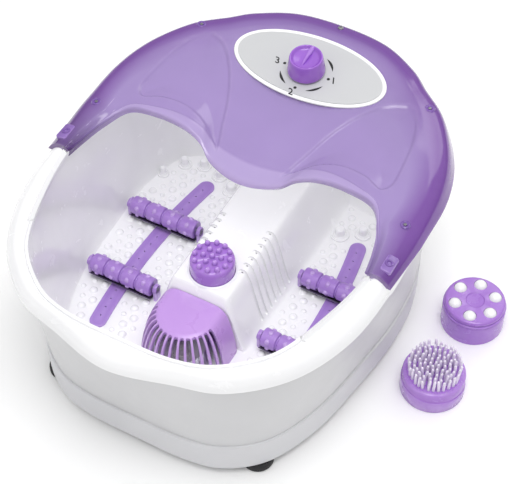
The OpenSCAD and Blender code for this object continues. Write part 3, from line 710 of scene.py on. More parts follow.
@dataclass(frozen=True)
class Finish:
    """What the finishes have in common.

    Attributes:
        name: Name of the material.
        slot: The record's slot that it stands for; not used.
        colour: Main colour on a screen, 0 to 255.
        roughness: How rough the surface is.
    """

    name: str
    slot: str
    colour: Colour
    roughness: float

    def material(self) -> bpy.types.Material:
        """Makes the finish's material, which is made once.

        Returns:
            The material, ready to use.
        """
        known = bpy.data.materials.get(self.name)
        if known:
            return known
        made = bpy.data.materials.new(self.name)
        made.use_nodes = True
        made.diffuse_color = linear(self.colour)
        wire = Wiring(made.node_tree)
        shader = made.node_tree.nodes["Principled BSDF"]
        shader.inputs["Roughness"].default_value = self.roughness
        self.wire(wire, shader)
        return made

    def wire(self, wire: Wiring, shader: bpy.types.Node) -> None:
        """Wires the finish's own nodes to the shader."""
        raise NotImplementedError

    def surface(
        self, wire: Wiring, shader: bpy.types.Node, grain: float, wave: float, depth: float
    ) -> bpy.types.Node:
        """Adds a moulded surface.

        Args:
            wire: Adds the nodes.
            shader: The shader that they lead to.
            grain: Scale of the grain, in waves per metre.
            wave: Share of slow waviness.
            depth: Depth of the bumps, in metres.

        Returns:
            The group node, for its tone.
        """
        made = wire.add("Group", {"node_tree": moulding_group()}, Grain_Scale=grain, Wave=wave)
        bump = wire.add("Bump", Strength=0.5, Distance=depth, Height=made.outputs["Height"])
        wire.tree.links.new(bump.outputs[0], shader.inputs["Normal"])
        rough = wire.ranged(
            made.outputs["Gloss"], 0.0, 1.0, (max(0.04, self.roughness - 0.06), self.roughness + 0.08)
        )
        wire.tree.links.new(rough, shader.inputs["Roughness"])
        return made


@dataclass(frozen=True)
class MouldedPlastic(Finish):
    """Injection-moulded plastic with a light grain, a slightly uneven tone and paler, handled edges.

    Attributes:
        shade: Colour where the moulding is a little denser.
        edge: Colour on exposed edges, if they differ.
        grain: Scale of the grain.
        depth: Depth of the grain, in metres.
        coat: Weight of the clear gloss over it.
        inner_light: Share of light that passes under its surface.
    """

    shade: Colour = (230, 230, 232)
    edge: Colour | None = None
    grain: float = 900.0
    depth: float = 0.0006
    coat: float = 0.2
    inner_light: float = 0.0

    def wire(self, wire: Wiring, shader: bpy.types.Node) -> None:
        """Wires grain, tone and edges.

        Args:
            wire: The helper for the material's tree.
            shader: The shader that takes the results.
        """
        made = self.surface(wire, shader, self.grain, 0.25, self.depth)
        body = wire.mix(made.outputs["Tone"], linear(self.shade), linear(self.colour))
        if self.edge:
            wear = wire.add("Group", {"node_tree": wear_group()})
            body = wire.mix(wear.outputs["Edge"], body, linear(self.edge))
        wire.tree.links.new(body, shader.inputs["Base Color"])
        shader.inputs["Coat Weight"].default_value = self.coat
        shader.inputs["Coat Roughness"].default_value = 0.12
        if self.inner_light:
            shader.inputs["Subsurface Weight"].default_value = self.inner_light
            shader.inputs["Subsurface Scale"].default_value = 0.004
            shader.inputs["Subsurface Radius"].default_value = (1.0, 0.8, 1.0)


@dataclass(frozen=True)
class TintedShell(Finish):
    """Tinted see-through plastic, deeper towards its rolled shoulder (thicker plastic plus painted shade),
    with painted shade at its two ends and a painted highlight along its lip.

    Attributes:
        deep: Colour on the shoulder: partly the deeper tint of thicker plastic, partly painted shade of the
            hollow under it.
        ends: Painted shade at the ends of the arms.
        pale: Painted highlight: a paler band along the rolled lip.
        cover: How much it hides what is under it, on the plate and on the shoulder.
    """

    deep: Colour = (112, 64, 152)
    ends: Colour = (84, 50, 118)
    pale: Colour = (186, 168, 214)
    cover: Pair = (0.76, 0.93)

    def wire(self, wire: Wiring, shader: bpy.types.Node) -> None:
        """Wires the tint along and across the shell, with its painted shade and painted highlight.

        Args:
            wire: The helper for the material's tree.
            shader: The shader that takes the results.
        """
        made = self.surface(wire, shader, 300.0, 0.3, 0.0003)
        wear = wire.add("Group", {"node_tree": wear_group()}, Scratch_Scale=40.0)
        across = wire.add("SeparateXYZ", Vector=wire.add("UVMap", {"uv_map": "UVMap"}).outputs[0])
        shoulder = wire.ranged(across.outputs["Y"], 0.5, 0.74, (0.0, 1.0))
        # Painted highlight: a paler band along the rolled lip.
        lip_highlight_mask = wire.ranged(across.outputs["Y"], 0.205, 0.195, (0.0, 0.45))
        # Painted shade: the tint darkens towards the end of each arm, fully at the left end and less at the
        # right.
        left = wire.ranged(across.outputs["X"], 0.86, 1.0, (0.0, 1.0))
        right = wire.ranged(across.outputs["X"], 0.1, 0.0, (0.0, 0.45))
        plate = wire.mix(made.outputs["Tone"], linear(self.colour),
                         linear(tuple(c * 0.95 for c in self.colour)))
        lip_highlighted = wire.mix(lip_highlight_mask, plate, linear(self.pale))
        # Shoulder colour: partly thicker plastic, partly painted shade of the hollow under it.
        rolled = wire.mix(shoulder, lip_highlighted, linear(self.deep))
        end_shaded = wire.mix(wire.math("ADD", left, right), rolled, linear(self.ends))
        worn = wire.mix(wire.math("MULTIPLY", wear.outputs["Edge"], 0.35), end_shaded, linear((225, 205, 240)))
        wire.tree.links.new(worn, shader.inputs["Base Color"])
        path = wire.add("LightPath").outputs
        passing = wire.math("MULTIPLY", wire.math("MAXIMUM", path["Is Shadow Ray"], path["Is Diffuse Ray"]),
                            -0.8)
        cover = wire.math("MULTIPLY", wire.ranged(shoulder, 0.0, 1.0, self.cover),
                          wire.math("ADD", passing, 1.0))
        wire.tree.links.new(cover, shader.inputs["Alpha"])
        shader.inputs["Coat Weight"].default_value = 0.5
        shader.inputs["Coat Roughness"].default_value = 0.05


@dataclass(frozen=True)
class Metal(Finish):
    """Bare or polished metal with fine scratches."""

    def wire(self, wire: Wiring, shader: bpy.types.Node) -> None:
        """Wires scratches and tone.

        Args:
            wire: The helper for the material's tree.
            shader: The shader that takes the results.
        """
        made = self.surface(wire, shader, 1500.0, 0.1, 0.0002)
        wear = wire.add("Group", {"node_tree": wear_group()}, Scratch_Scale=160.0)
        dull = linear(tuple(c * 0.82 for c in self.colour))
        body = wire.mix(made.outputs["Tone"], dull, linear(self.colour))
        worn = wire.mix(wear.outputs["Scratch"], body, linear((235, 235, 238)))
        wire.tree.links.new(worn, shader.inputs["Base Color"])
        shader.inputs["Metallic"].default_value = 1.0


@dataclass(frozen=True)
class Rubber(Finish):
    """Dull pitted rubber, greyer where it has rubbed."""

    def wire(self, wire: Wiring, shader: bpy.types.Node) -> None:
        """Wires pits and rubbed edges.

        Args:
            wire: The helper for the material's tree.
            shader: The shader that takes the results.
        """
        made = self.surface(wire, shader, 2200.0, 0.1, 0.0012)
        wear = wire.add("Group", {"node_tree": wear_group()}, Sharpness=5.0)
        body = wire.mix(made.outputs["Tone"], linear(tuple(c * 0.7 for c in self.colour)),
                        linear(self.colour))
        worn = wire.mix(wear.outputs["Edge"], body, linear((96, 94, 98)))
        wire.tree.links.new(worn, shader.inputs["Base Color"])


@dataclass(frozen=True)
class ClearPart(Finish):
    """A clear tinted part, such as the lamp's lens.

    Attributes:
        glow: Strength of its own light.
        cover: How much it hides what is behind it.
    """

    glow: float = 0.0
    cover: float = 0.6

    def wire(self, wire: Wiring, shader: bpy.types.Node) -> None:
        """Wires its tint.

        Args:
            wire: The helper for the material's tree.
            shader: The shader that takes the results.
        """
        made = self.surface(wire, shader, 500.0, 0.6, 0.0004)
        body = wire.mix(made.outputs["Tone"], linear(tuple(c * 0.85 for c in self.colour)),
                        linear(self.colour))
        wire.tree.links.new(body, shader.inputs["Base Color"])
        shader.inputs["Alpha"].default_value = self.cover
        shader.inputs["Emission Color"].default_value = linear(self.colour)
        shader.inputs["Emission Strength"].default_value = self.glow


WHITE = MouldedPlastic("basin_gloss_white", "basin_white", (250, 250, 251), 0.22, shade=(243, 243, 245),
                       coat=0.35)
# Painted shade: the casing is the basin's white darkened to stand for the shade on its sides.
CASING_WHITE_PAINTED_SHADE = MouldedPlastic("casing_satin_white_painted_shade", "basin_white", (212, 212, 214), 0.34,
                              shade=(206, 206, 208))
PAN_WHITE = MouldedPlastic("pan_satin_white", "pan_white", (218, 218, 221), 0.36, shade=(210, 210, 214),
                           coat=0.1)
HOLDER_WHITE = MouldedPlastic("holder_gloss_white", "basin_white", (246, 245, 249), 0.24,
                              shade=(238, 237, 243))
# Guard finish: painted shade on the shoulder and the arm ends, and a painted highlight along the lip.
GUARD = TintedShell("guard_tinted_lilac_painted_shade", "guard_lilac", (154, 130, 190), 0.12)
GUARD_BOSS = MouldedPlastic("guard_boss_violet", "guard_lilac", (112, 70, 158), 0.2, shade=(98, 60, 144),
                            edge=(176, 144, 214), coat=0.5)
BEZEL = MouldedPlastic("bezel_gloss_white", "basin_white", (252, 252, 252), 0.2, shade=(248, 248, 249),
                       coat=0.4)
LABEL = MouldedPlastic(
    "label_satin_grey", "label_grey", (199, 200, 202), 0.42, shade=(194, 195, 197), coat=0.05
)
PRINT = MouldedPlastic("label_black_print", "label_grey", (18, 18, 20), 0.5, shade=(12, 12, 13),
                       edge=(24, 24, 26), coat=0)
KNOB = MouldedPlastic("knob_violet_gloss", "knob_violet", (158, 100, 206), 0.2, shade=(148, 90, 198),
                      edge=(206, 170, 236), coat=0.4, inner_light=0.15)
ROLLER = MouldedPlastic("roller_violet_satin", "roller_violet", (162, 122, 202), 0.3, shade=(152, 112, 194),
                        edge=(206, 182, 232), coat=0.3)
NUB = MouldedPlastic("roller_nub_lilac", "roller_violet", (180, 146, 214), 0.24, shade=(172, 136, 208),
                     edge=(222, 204, 240), coat=0.4)
STRIP = MouldedPlastic("strip_violet_satin", "roller_violet", (164, 128, 204), 0.34, shade=(156, 118, 198),
                       edge=(196, 170, 224), coat=0.2)
# Painted shade: a dark cradle under each roller stands for the shade beneath it.
ROLLER_SHADE_TROUGH = MouldedPlastic(
    "trough_painted_shade", "roller_violet", (62, 50, 78), 0.5, shade=(48, 40, 62), edge=(90, 76, 110), coat=0
)
LAMP = MouldedPlastic("lamp_cover_lilac", "lamp_violet", (190, 148, 218), 0.3, shade=(184, 142, 214),
                      edge=(214, 186, 236), coat=0.3, inner_light=0.1)
HEAD = MouldedPlastic("head_violet_gloss", "head_violet", (166, 116, 208), 0.24, shade=(158, 108, 202),
                      edge=(208, 178, 236), coat=0.35, inner_light=0.15)
BALL = MouldedPlastic("ball_gloss_white", "ball_white", (252, 252, 252), 0.12, shade=(248, 248, 250),
                      coat=0.6)
BRISTLE = MouldedPlastic("bristle_pale_lilac", "bristle_lilac", (236, 224, 248), 0.34,
                         shade=(228, 214, 244), edge=(244, 238, 252), inner_light=0.4)
STEEL = Metal("screw_bright_steel", "screw_steel", (176, 176, 180), 0.3)
MIRROR = Metal("reflector_polished", "reflector", (232, 235, 237), 0.3)
RUBBER = Rubber("foot_black_rubber", "rubber_black", (34, 34, 37), 0.75)
INNER = MouldedPlastic("inner_grey_plastic", "inner_plastic", (120, 122, 126), 0.5, shade=(108, 110, 114),
                       coat=0)
LENS = ClearPart("lens_clear_pale", "lens_clear", (216, 208, 220), 0.15, cover=0.25)
BULB = ClearPart("bulb_clear_glass", "bulb_glass", (232, 228, 224), 0.1, glow=0.0, cover=0.6)
HOSE = ClearPart("hose_clear_vinyl", "hose_clear", (214, 220, 222), 0.25, cover=0.7)


# ---------------------------------------------------------------- tub
@dataclass
class Tub:
    """The nubbed basin with its ridge, its rolled rim and its toe nodes.

    Attributes:
        wall: Thickness of the moulding.
        ridge_top: Half width of the ridge's flat top.
        ridge_foot: Half width of the ridge at its foot.
        ridge_h: Height of the ridge above the floor.
        ridge_front: Where the ridge's front end stands.
        columns: Points across half of the floor, on the ridge and beside it.
        rows: Points along the floor.
    """

    floor_z: float = 34.0
    rim_z: float = 177.0
    rim_drop: float = 17.0
    wall: float = 3.2
    ridge_top: float = 25.0
    ridge_foot: float = 48.0
    ridge_h: float = 64.0
    ridge_front: float = -48.25
    columns: Pair = (46, 26)
    rows: int = 190
    vents: int = 7
    vent_pitch: float = 8.8
    vent_front: float = -11.0
    vent_r: float = 1.9
    toes: tuple[tuple[float, float, float], ...] = (
        (62, 121, 9.5), (82, 132, 8.2), (103, 137, 7.7), (122, 130, 7.2), (135, 108, 6.0)
    )
    seam: dict[str, np.ndarray] = field(default_factory=dict)

    def ridge_z(self, x: np.ndarray, y: np.ndarray) -> np.ndarray:
        """Works out the height of the floor and its ridge at nominal places.

        Args:
            x: Distances from the middle plane.
            y: Places along the basin.

        Returns:
            The heights at those places.
        """
        flank = smooth((self.ridge_foot - np.abs(x)) / (self.ridge_foot - self.ridge_top))
        front = np.interp(y - self.ridge_front, (-1.8, -1.4, 0.2, 1.8, 3.2, 4.6),
                          (0.0, 0.84, 0.91, 0.962, 0.99, 1.0))
        return self.floor_z + self.ridge_h * flank * front

    def floor_grid(self) -> np.ndarray:
        """Makes the floor's points as (row, column, xyz), columns running from left to right.

        Returns:
            The grid of points.
        """
        on_ridge = np.linspace(0, 55, int(self.columns[0]) + 1)
        beside = np.linspace(0, 1, int(self.columns[1]) + 1)[1:]
        front = np.concatenate([
            np.where(on_ridge <= 45, on_ridge / 45, 1 + (on_ridge - 45) / 35),
            np.interp(beside, (0, 0.25, 0.5, 0.75, 1), (1 + 10 / 35, 1.6, 1.95, 2.3, 2.6)),
        ])
        back = np.concatenate([
            on_ridge / 70, np.interp(beside, (0, 0.25, 0.5, 0.75, 1), (55 / 70, 1.05, 1.35, 1.7, 2.0))
        ])
        reach = np.concatenate([np.zeros(len(on_ridge)), beside])
        along = np.union1d(np.linspace(0, 1, self.rows), np.linspace(0.316, 0.34, 28))
        near, far = FLOOR.at(front), FLOOR.at(10 - back)
        straight = near[None] * (1 - along[:, None, None]) + far[None] * along[:, None, None]
        edge = FLOOR.at(2.6 + 5.4 * along)
        half = straight + reach[None, :, None] * (edge[:, None] - straight[:, -1:])
        nominal = np.concatenate([on_ridge, np.full(len(beside), 99.0)])
        z = self.ridge_z(nominal[None], half[..., 1])
        right = np.concatenate([half, z[..., None]], 2)
        left = right[:, :0:-1] * (-1, 1, 1)
        count = right.shape[1]
        sides = np.concatenate([-front[:0:-1], front]), np.concatenate([10 + back[:0:-1], 10 - back])
        self.seam = {"front": sides[0], "back": sides[1], "along": 2.6 + 5.4 * along}
        return np.concatenate([left, right], 1)

    def skin(self) -> Shape:
        """Makes the upper skin: the floor's grid, the walls round it and the rolled rim.

        Returns:
            The shape.
        """
        grid = self.floor_grid()
        rows, columns = grid.shape[:2]
        number = np.arange(rows * columns).reshape(rows, columns)
        loop = np.concatenate([number[0], number[1:, -1], number[-1, -2::-1], number[-2:0:-1, 0]])
        along = self.seam["along"]
        place = np.concatenate([self.seam["front"], along[1:], self.seam["back"][-2::-1], -along[-2:0:-1]])
        foot, rim, out = (outline.at(place) for outline in (FLOOR, RIM_IN, RIM_OUT))
        base_z = grid.reshape(-1, 3)[loop, 2]
        knots = [grid.reshape(-1, 3)[loop]]
        for share, rise in ((0.1, 0.02), (0.28, 0.1), (0.5, 0.3), (0.95, 0.95)):
            knots.append(np.column_stack([between(foot, rim, share), between(base_z, self.rim_z, rise)]))
        for share, drop in ((0, -4), (0.25, 0), (0.6, -2), (0.9, -8), (1, -16)):
            spot = between(rim, out, share)
            ledge = 3 * smooth((spot[:, 1] / STRETCH[1] + 22) / 12)
            knots.append(np.column_stack([spot, self.rim_z + drop * self.rim_drop / 16 - ledge]))
        places = np.unique(np.concatenate([np.linspace(0, 4, 29), np.linspace(4, 9, 31)]))
        rings = through(np.array(knots), places)[1:]
        count = len(loop)
        base = rows * columns
        faces = quads(rows, columns, False)
        faces += [tuple(base + n for n in face) for face in quads(len(rings), count, True)]
        faces += [(loop[i], loop[(i + 1) % count], base + (i + 1) % count, base + i) for i in range(count)]
        return Shape(np.vstack([grid.reshape(-1, 3), rings.reshape(-1, 3)]),
                     [tuple(map(int, f)) for f in faces])

    def vent_rows(self) -> np.ndarray:
        """Returns the places of the vents along the ridge."""
        return self.vent_front + self.vent_pitch * np.arange(self.vents)

    def vent_cutters(self) -> tuple[list[Shape], list[Shape]]:
        """Makes the grooves down the ridge's flanks and the small holes at their upper ends.

        Returns:
            The grooves and the holes, apart.
        """
        grid = self.floor_grid()
        middle = grid.shape[1] // 2
        grooves, holes = [], []
        for y in self.vent_rows():
            row = grid[np.argmin(np.abs(grid[:, middle, 1] - y))]
            path = row[middle + 19:middle + 38].copy()
            path[:, 1] = y
            knots = through(path, np.linspace(0, len(path) - 1, 40))
            groove = tube(knots - (0.7, 0, 0.6), self.vent_r)
            hole = revolve([(0, -9), (1.2, -9), (1.2, 2), (0, 2)], 12).placed(knots[1])
            grooves += [groove, groove.mirrored()]
            holes += [hole, hole.mirrored()]
        return grooves, holes

    def nubs(self) -> Shape:
        """Makes the small and large nubs on the two foot wells.

        Returns:
            The shape.
        """
        edge = FLOOR.ring(720)
        centre = np.array([0.0, 8.0])
        angle = np.arctan2(*(edge - centre).T[::-1])
        order = np.argsort(angle)
        reach = np.linalg.norm(edge - centre, axis=1)
        large, small = dome(3.8, 2.5), dome(2.5, 1.7)
        made = []
        for row, y in enumerate(np.arange(-140, 160, 10.6)):
            for step, x in enumerate(np.arange(57 + 5.8 * (row % 2), 146, 11.6)):
                spot = np.array([x, y]) - centre
                limit = np.interp(math.atan2(spot[1], spot[0]), angle[order], reach[order], period=math.tau)
                free_of_toes = all(math.hypot(x - toe[0], y - toe[1]) > toe[2] + 4.5 for toe in self.toes)
                free_of_strip = abs(x - Strip.middle_at(y)) > 12.5 or not -97 < y < 125
                if np.linalg.norm(spot) < limit - 5 and free_of_toes and free_of_strip:
                    nub = (large if (row + step) % 2 else small).placed((x, y, self.floor_z))
                    made += [nub, nub.mirrored()]
        return Shape.joined(made)

    def toe_posts(self) -> Shape:
        """Makes the posts under the toes, each on its disc.

        Returns:
            The shape.
        """
        made = []
        for x, y, radius in self.toes:
            profile = [(0, -1), (radius, -1), (radius, 1.7), (radius * 0.9, 2.1), (radius * 0.84, 1.2),
                       (radius * 0.7, 1.1), (radius * 0.64, 2.6), (radius * 0.54, 3.2), (radius * 0.5, 9.2),
                       (radius * 0.42, 10.6), (0, 11)]
            post = revolve(eased(profile, 0.6), 40).placed((x, y, self.floor_z))
            made += [post, post.mirrored()]
        return Shape.joined(made)

    def build(self) -> None:
        """Builds the tub and its nubs."""
        holder_low, holder_high = box_mm("head_holder")
        middle = (holder_low + holder_high) / 2
        radius = (holder_high - holder_low)[0] / 2 - 0.7
        hole = revolve([(0, -20), (radius, -20), (radius, 20), (0, 20)],
                       72).placed((0, middle[1], holder_high[2]))
        mesh = thickened(to_mesh("tub_skin", self.skin()), self.wall)
        mesh = carved(mesh, [hole, *(Shape.joined(cutters) for cutters in self.vent_cutters())])
        add_piece("tub_shell", mesh, WHITE, nodes=["tub"], crease=32)
        add_piece("tub_floor_nubs", self.nubs(), WHITE)
        add_piece("tub_toe_posts", self.toe_posts(), WHITE)


@dataclass
class Casing:
    """The outer casing, the base pan with its feet and the screws under it."""

    count: int = 360
    seam_z: float = 45.0
    top_z: float = 158.0
    wall: float = 2.4
    pan_z: float = 9.0
    pan_wall: float = 3.6
    plate: float = 3.0
    foot_sites: tuple[Pair, ...] = ((104, -126), (106, 140))
    screw_sites: tuple[Pair, ...] = ((70, -118), (126, 0), (88, 128))
    vents: int = 7
    gland: tuple[float, float, float] = (56, 190, 27)

    def shell(self) -> bpy.types.Mesh:
        """Makes the casing's wall, from the seam to under the rim.

        Returns:
            The mesh.
        """
        low, high = BASE.ring(self.count, -2), WALL_TOP.ring(self.count)
        rings = []
        for share in np.linspace(0, 1, 13):
            plan = between(low, high, share)
            rings.append(np.column_stack([plan,
                                          np.full(self.count, between(self.seam_z, self.top_z, share))]))
        return thickened(to_mesh("casing_skin", loft(np.array(rings), capped=False)), self.wall)

    def pan(self) -> bpy.types.Mesh:
        """Makes the base pan: a rounded skirt, a floor with vents, and holes for screws and the gland.

        Returns:
            The mesh.
        """
        top = self.pan_z + self.plate
        profile = [(-9, self.pan_z), (-0.6, self.pan_z), (0, self.pan_z + 7), (0, self.seam_z - 1),
                   (-1, self.seam_z), (-self.pan_wall, self.seam_z), (-self.pan_wall, top), (-9, top)]
        soft = eased(profile, 4.5, 5)
        rings = [np.column_stack([BASE.ring(self.count, out), np.full(self.count, z)]) for out, z in soft]
        mesh = to_mesh("pan_skin", loft(np.array(rings)))
        cutters = []
        for step in range(self.vents):
            y = (step - (self.vents - 1) / 2) * 9 + 71.5
            cutters.append(slab((44, 3, 8), 1.2).placed((0, y, self.pan_z - 2)))
        for x, y in self.screw_sites:
            for side in Side:
                cutters.append(revolve([(0, -2), (3.8, -2), (3.8, 2.2), (0, 2.2)],
                                       32).placed((side.value * x, y, self.pan_z)))
        hole = revolve([(0, 0), (7.2, 0), (7.2, 40), (0, 40)], 40)
        cutters.append(hole.placed((self.gland[0], 165, self.gland[2]),
                                   Matrix.Rotation(-math.pi / 2, 4, "X")))
        return carved(mesh, [Shape.joined(cutters)])

    def feet(self) -> Shape:
        """Makes the ribbed rubber feet.

        Returns:
            The shape.
        """
        profile = [(0, 1.2), (5, 1.2), (6, 0.2), (8, 0.2), (8.6, 1.0), (9.8, 1.0), (10.4, 0.2), (13.6, 0),
                   (15, 1.4), (15, 6.5), (14, 8.9), (0, 8.9)]
        foot = revolve(eased(profile, 0.5), 56)
        made = [foot.placed((side.value * x, y, 0)) for x, y in self.foot_sites for side in Side]
        return Shape.joined(made)

    def screws(self) -> Shape:
        """Makes the heads of the base screws.

        Returns:
            The shape.
        """
        made = []
        for x, y in self.screw_sites:
            for side in Side:
                made.append(cross_head(3.1, 2.0).placed((side.value * x, y, self.pan_z + 2.5),
                                                        Matrix.Rotation(math.pi, 4, "X")))
        return Shape.joined(made)

    def gland_boot(self) -> Shape:
        """Makes the ribbed gland where the lead leaves, without its lead.

        Returns:
            The shape.
        """
        profile = [(3.6, 0), (10, 0), (10, 3), (7, 3), (7, 19), (10, 19), (10, 20.2), (8.6, 20.6),
                   (9.6, 21.2), (8.4, 22), (3.6, 22), (3.6, 0)]
        low, _ = box_mm("cord_gland")
        turn = Matrix.Rotation(-math.pi / 2, 4, "X")
        return revolve(eased(profile, 0.4), 48).placed((self.gland[0], low[1], self.gland[2]), turn)

    def build(self) -> None:
        """Builds the casing and everything under it."""
        add_piece("casing_wall", self.shell(), CASING_WHITE_PAINTED_SHADE, nodes=["outer_casing"])
        add_piece("base_pan_tray", self.pan(), PAN_WHITE, nodes=["base_pan"])
        add_piece("rubber_feet", self.feet(), RUBBER, nodes=["feet"])
        add_piece("base_screw_heads", self.screws(), STEEL, nodes=["base_screws"])
        add_piece("lead_gland", self.gland_boot(), RUBBER, nodes=["cord_gland"])


def cross_head(radius: float, height: float) -> Shape:
    """Makes a domed screw head with a cross cut into it, its seat on the origin's plane.

    Args:
        radius: The head's radius.
        height: The head's height.

    Returns:
        The shape.
    """
    head = revolve([(0, 0), (radius, 0), (radius, height * 0.4), (radius * 0.8, height * 0.85),
                    (0, height)], 32)
    arms = [slab((radius * 1.2, radius * 0.28, 2), 0.1), slab((radius * 0.28, radius * 1.2, 2), 0.1)]
    mesh = carved(to_mesh("screw_head", head), [arm.placed((0, 0, height * 0.45)) for arm in arms])
    points = np.array([v.co for v in mesh.vertices]) / MM
    faces = [tuple(p.vertices) for p in mesh.polygons]
    bpy.data.meshes.remove(mesh)
    return Shape(points, faces)


# ---------------------------------------------------------------- splash guard
@dataclass
class SplashGuard:
    """The tinted guard that saddles the rim's back half, with its bosses and end blocks."""

    lip: tuple[Pair, ...] = ((150, -20), (146, 2), (139, 24), (124, 45), (97, 50), (70, 50), (50, 46),
                             (36, 38), (18, 33), (0, 31))
    edge: tuple[Pair, ...] = ((173, -20), (175, 10), (177, 50), (174.5, 98), (162, 140), (137, 180),
                              (108, 205), (86, 224), (48, 243), (0, 248))
    lip_drop: tuple[float, ...] = (11, 10, 7, 0, -2, 0, 6, 14, 18, 19)
    shoulder: tuple[tuple[float, float, float], ...] = ((1, 0, 0.6), (0.58, 1, 0.75), (0.22, 6, 0.9))
    arm_z: float = 182.0
    back_z: float = 196.0
    edge_z: float = 170.0
    shoulder_w: float = 38.0
    flange: float = 6.0
    wall: float = 2.6
    count: int = 420
    scoop: tuple[Pair, ...] = ((32, 46), (46, 56), (62, 66), (82, 71), (104, 69), (122, 62), (131, 72),
                               (131, 90), (127, 124), (119, 150), (108, 164), (95, 162), (83, 154),
                               (72, 141), (61, 124), (50, 101), (41, 74))
    scoop_depth: float = 4.5
    bosses: tuple[Pair, ...] = ((158, 40), (121, 172))
    block_at: Pair = (163.5, -3.0)
    end_screw: Pair = (165, -1)
    grip_screw: Pair = (0, 231)

    def row(self, half: Sequence[Pair], places: np.ndarray) -> np.ndarray:
        """Returns points of a half outline carried on over the middle to the other arm."""
        points = np.array(half, float)
        return through(np.vstack([points, points[-2::-1] * (-1, 1)]), places) * STRETCH

    def knots(self, places: np.ndarray) -> np.ndarray:
        """Makes the eight rows of knots across the guard, as (row, place, xyz).

        Args:
            places: Places along the guard, in knots.

        Returns:
            The knots of each row.
        """
        lip, far = self.row(self.lip, places), self.row(self.edge, places)
        drop = np.array(self.lip_drop)
        drops = through(np.concatenate([drop, drop[-2::-1]])[:, None], places)[:, 0]
        width = np.linalg.norm(far - lip, axis=1)
        inward = unit(lip - far)
        from_end = np.minimum(places, 18 - places)
        crest = between(self.arm_z, self.back_z, smooth(from_end / 6))
        low = self.arm_z - drops
        wide = np.minimum(self.shoulder_w, 0.75 * width)
        roll = [(far + inward * (share * wide)[:, None], crest - fall) for share, fall, _ in self.shoulder]
        rows = [(lip, low), (lip - inward * 0.5, low + self.flange)]
        rows += [
            (between(lip, roll[0][0], share), between(low + self.flange, crest, smooth(share + 0.15)))
            for share in (0.3, 0.65)
        ]
        rows += [*roll, (far, np.full(len(places), self.edge_z))]
        return np.array([np.column_stack([plan, z]) for plan, z in rows])

    def sunk(self, points: np.ndarray) -> np.ndarray:
        """Returns how far the scoops beside the panel sink the skin.

        Args:
            points: The skin's points.

        Returns:
            The depth at each point, with a crisp edge all round and a soft bottom.
        """
        corners = np.array(self.scoop, float) * STRETCH
        count = len(corners)
        share = np.linspace(0, 1, 7)[:-1]
        outline = np.vstack([spline(*(corners[(i + k) % count] for k in (-1, 0, 1, 2)),
                                    share[:, None]) for i in range(count)])
        start, end = outline, np.roll(outline, -1, axis=0)
        spot = np.column_stack([np.abs(points[:, 0]), points[:, 1]])[:, None]
        way = end - start
        along = np.clip(((spot - start) * way).sum(2) / (way * way).sum(1), 0, 1)
        gap = np.linalg.norm(spot - start - along[..., None] * way, axis=2).min(1)
        over = (start[:, 1] > spot[..., 1]) != (end[:, 1] > spot[..., 1])
        rise = np.where(np.abs(way[:, 1]) < 1e-9, 1e-9, way[:, 1])
        left = spot[..., 0] < start[:, 0] + way[:, 0] * (spot[..., 1] - start[:, 1]) / rise
        inside = (over & left).sum(1) % 2 == 1
        return np.where(inside, self.scoop_depth * (0.45 * smooth(gap / 3.5) + 0.55 * smooth(gap / 24)), 0)

    def skin(self) -> Shape:
        """Makes the guard's outer skin, closed at both ends of its arms.

        Returns:
            The shape.
        """
        places = np.linspace(0, 18, self.count)
        across = np.concatenate([np.linspace(0, 1, 6), np.linspace(1, 1.36, 7)[1:],
                                 np.linspace(1.36, 1.46, 4)[1:], np.linspace(1.46, 4, 52)[1:],
                                 np.linspace(4, 7, 26)[1:]])
        surface = through(self.knots(places), across)
        surface[..., 2] += 0.9 * (smooth((across - 0.9) / 0.1) * (1 - smooth((across - 1.36) / 0.1)))[:, None]
        points = surface.reshape(-1, 3)
        points[:, 2] -= self.sunk(points)
        low, high = box_mm("splash_guard")
        points[:, :2] = np.clip(points[:, :2], low[:2], high[:2])
        rows = len(across)
        marks = np.stack(np.meshgrid(places / 18, across / 7), 2).reshape(-1, 2)
        first = np.arange(rows) * self.count
        ends = [tuple(first.tolist()), tuple((first + self.count - 1)[::-1].tolist())]
        return Shape(points, quads(rows, self.count, False) + ends, marks)

    def crest_at(self, x: float, y: float) -> float:
        """Returns the height of the skin at a place, taken from the nearest point of it."""
        skin = self.skin().points
        return float(skin[np.argmin(np.hypot(skin[:, 0] - x, skin[:, 1] - y)), 2])

    def boss(self, x: float, y: float) -> Shape:
        """Returns a low ring with a sunk screw seat."""
        profile = [(1.7, 0.1), (2.4, 0.9), (3.4, 1.1), (4.4, 0.7), (5.2, -0.8), (1.7, -0.8), (1.7, 0.1)]
        return revolve(eased(profile, 0.3), 36).placed((x, y, self.crest_at(x, y)))

    def end_block(self, side: Side) -> Shape:
        """Makes the raised block near the end of an arm, with its screw ring.

        Args:
            side: Which arm.

        Returns:
            The shape.
        """
        x, y = side.value * self.block_at[0], self.block_at[1]
        z = self.crest_at(x, y)
        tilt = Matrix.Rotation(side.value * 0.16, 4, "Y")
        block = slab((11, 19, 3.2), 1.4).placed((x, y, z - 2.0), tilt)
        ring = revolve(eased([(1.5, 0.4), (2.2, 1.2), (3.4, 1.2), (4.2, 0), (1.5, 0), (1.5, 0.4)], 0.3), 32)
        return Shape.joined([block, ring.placed((x, y, z + 1.1), tilt)])

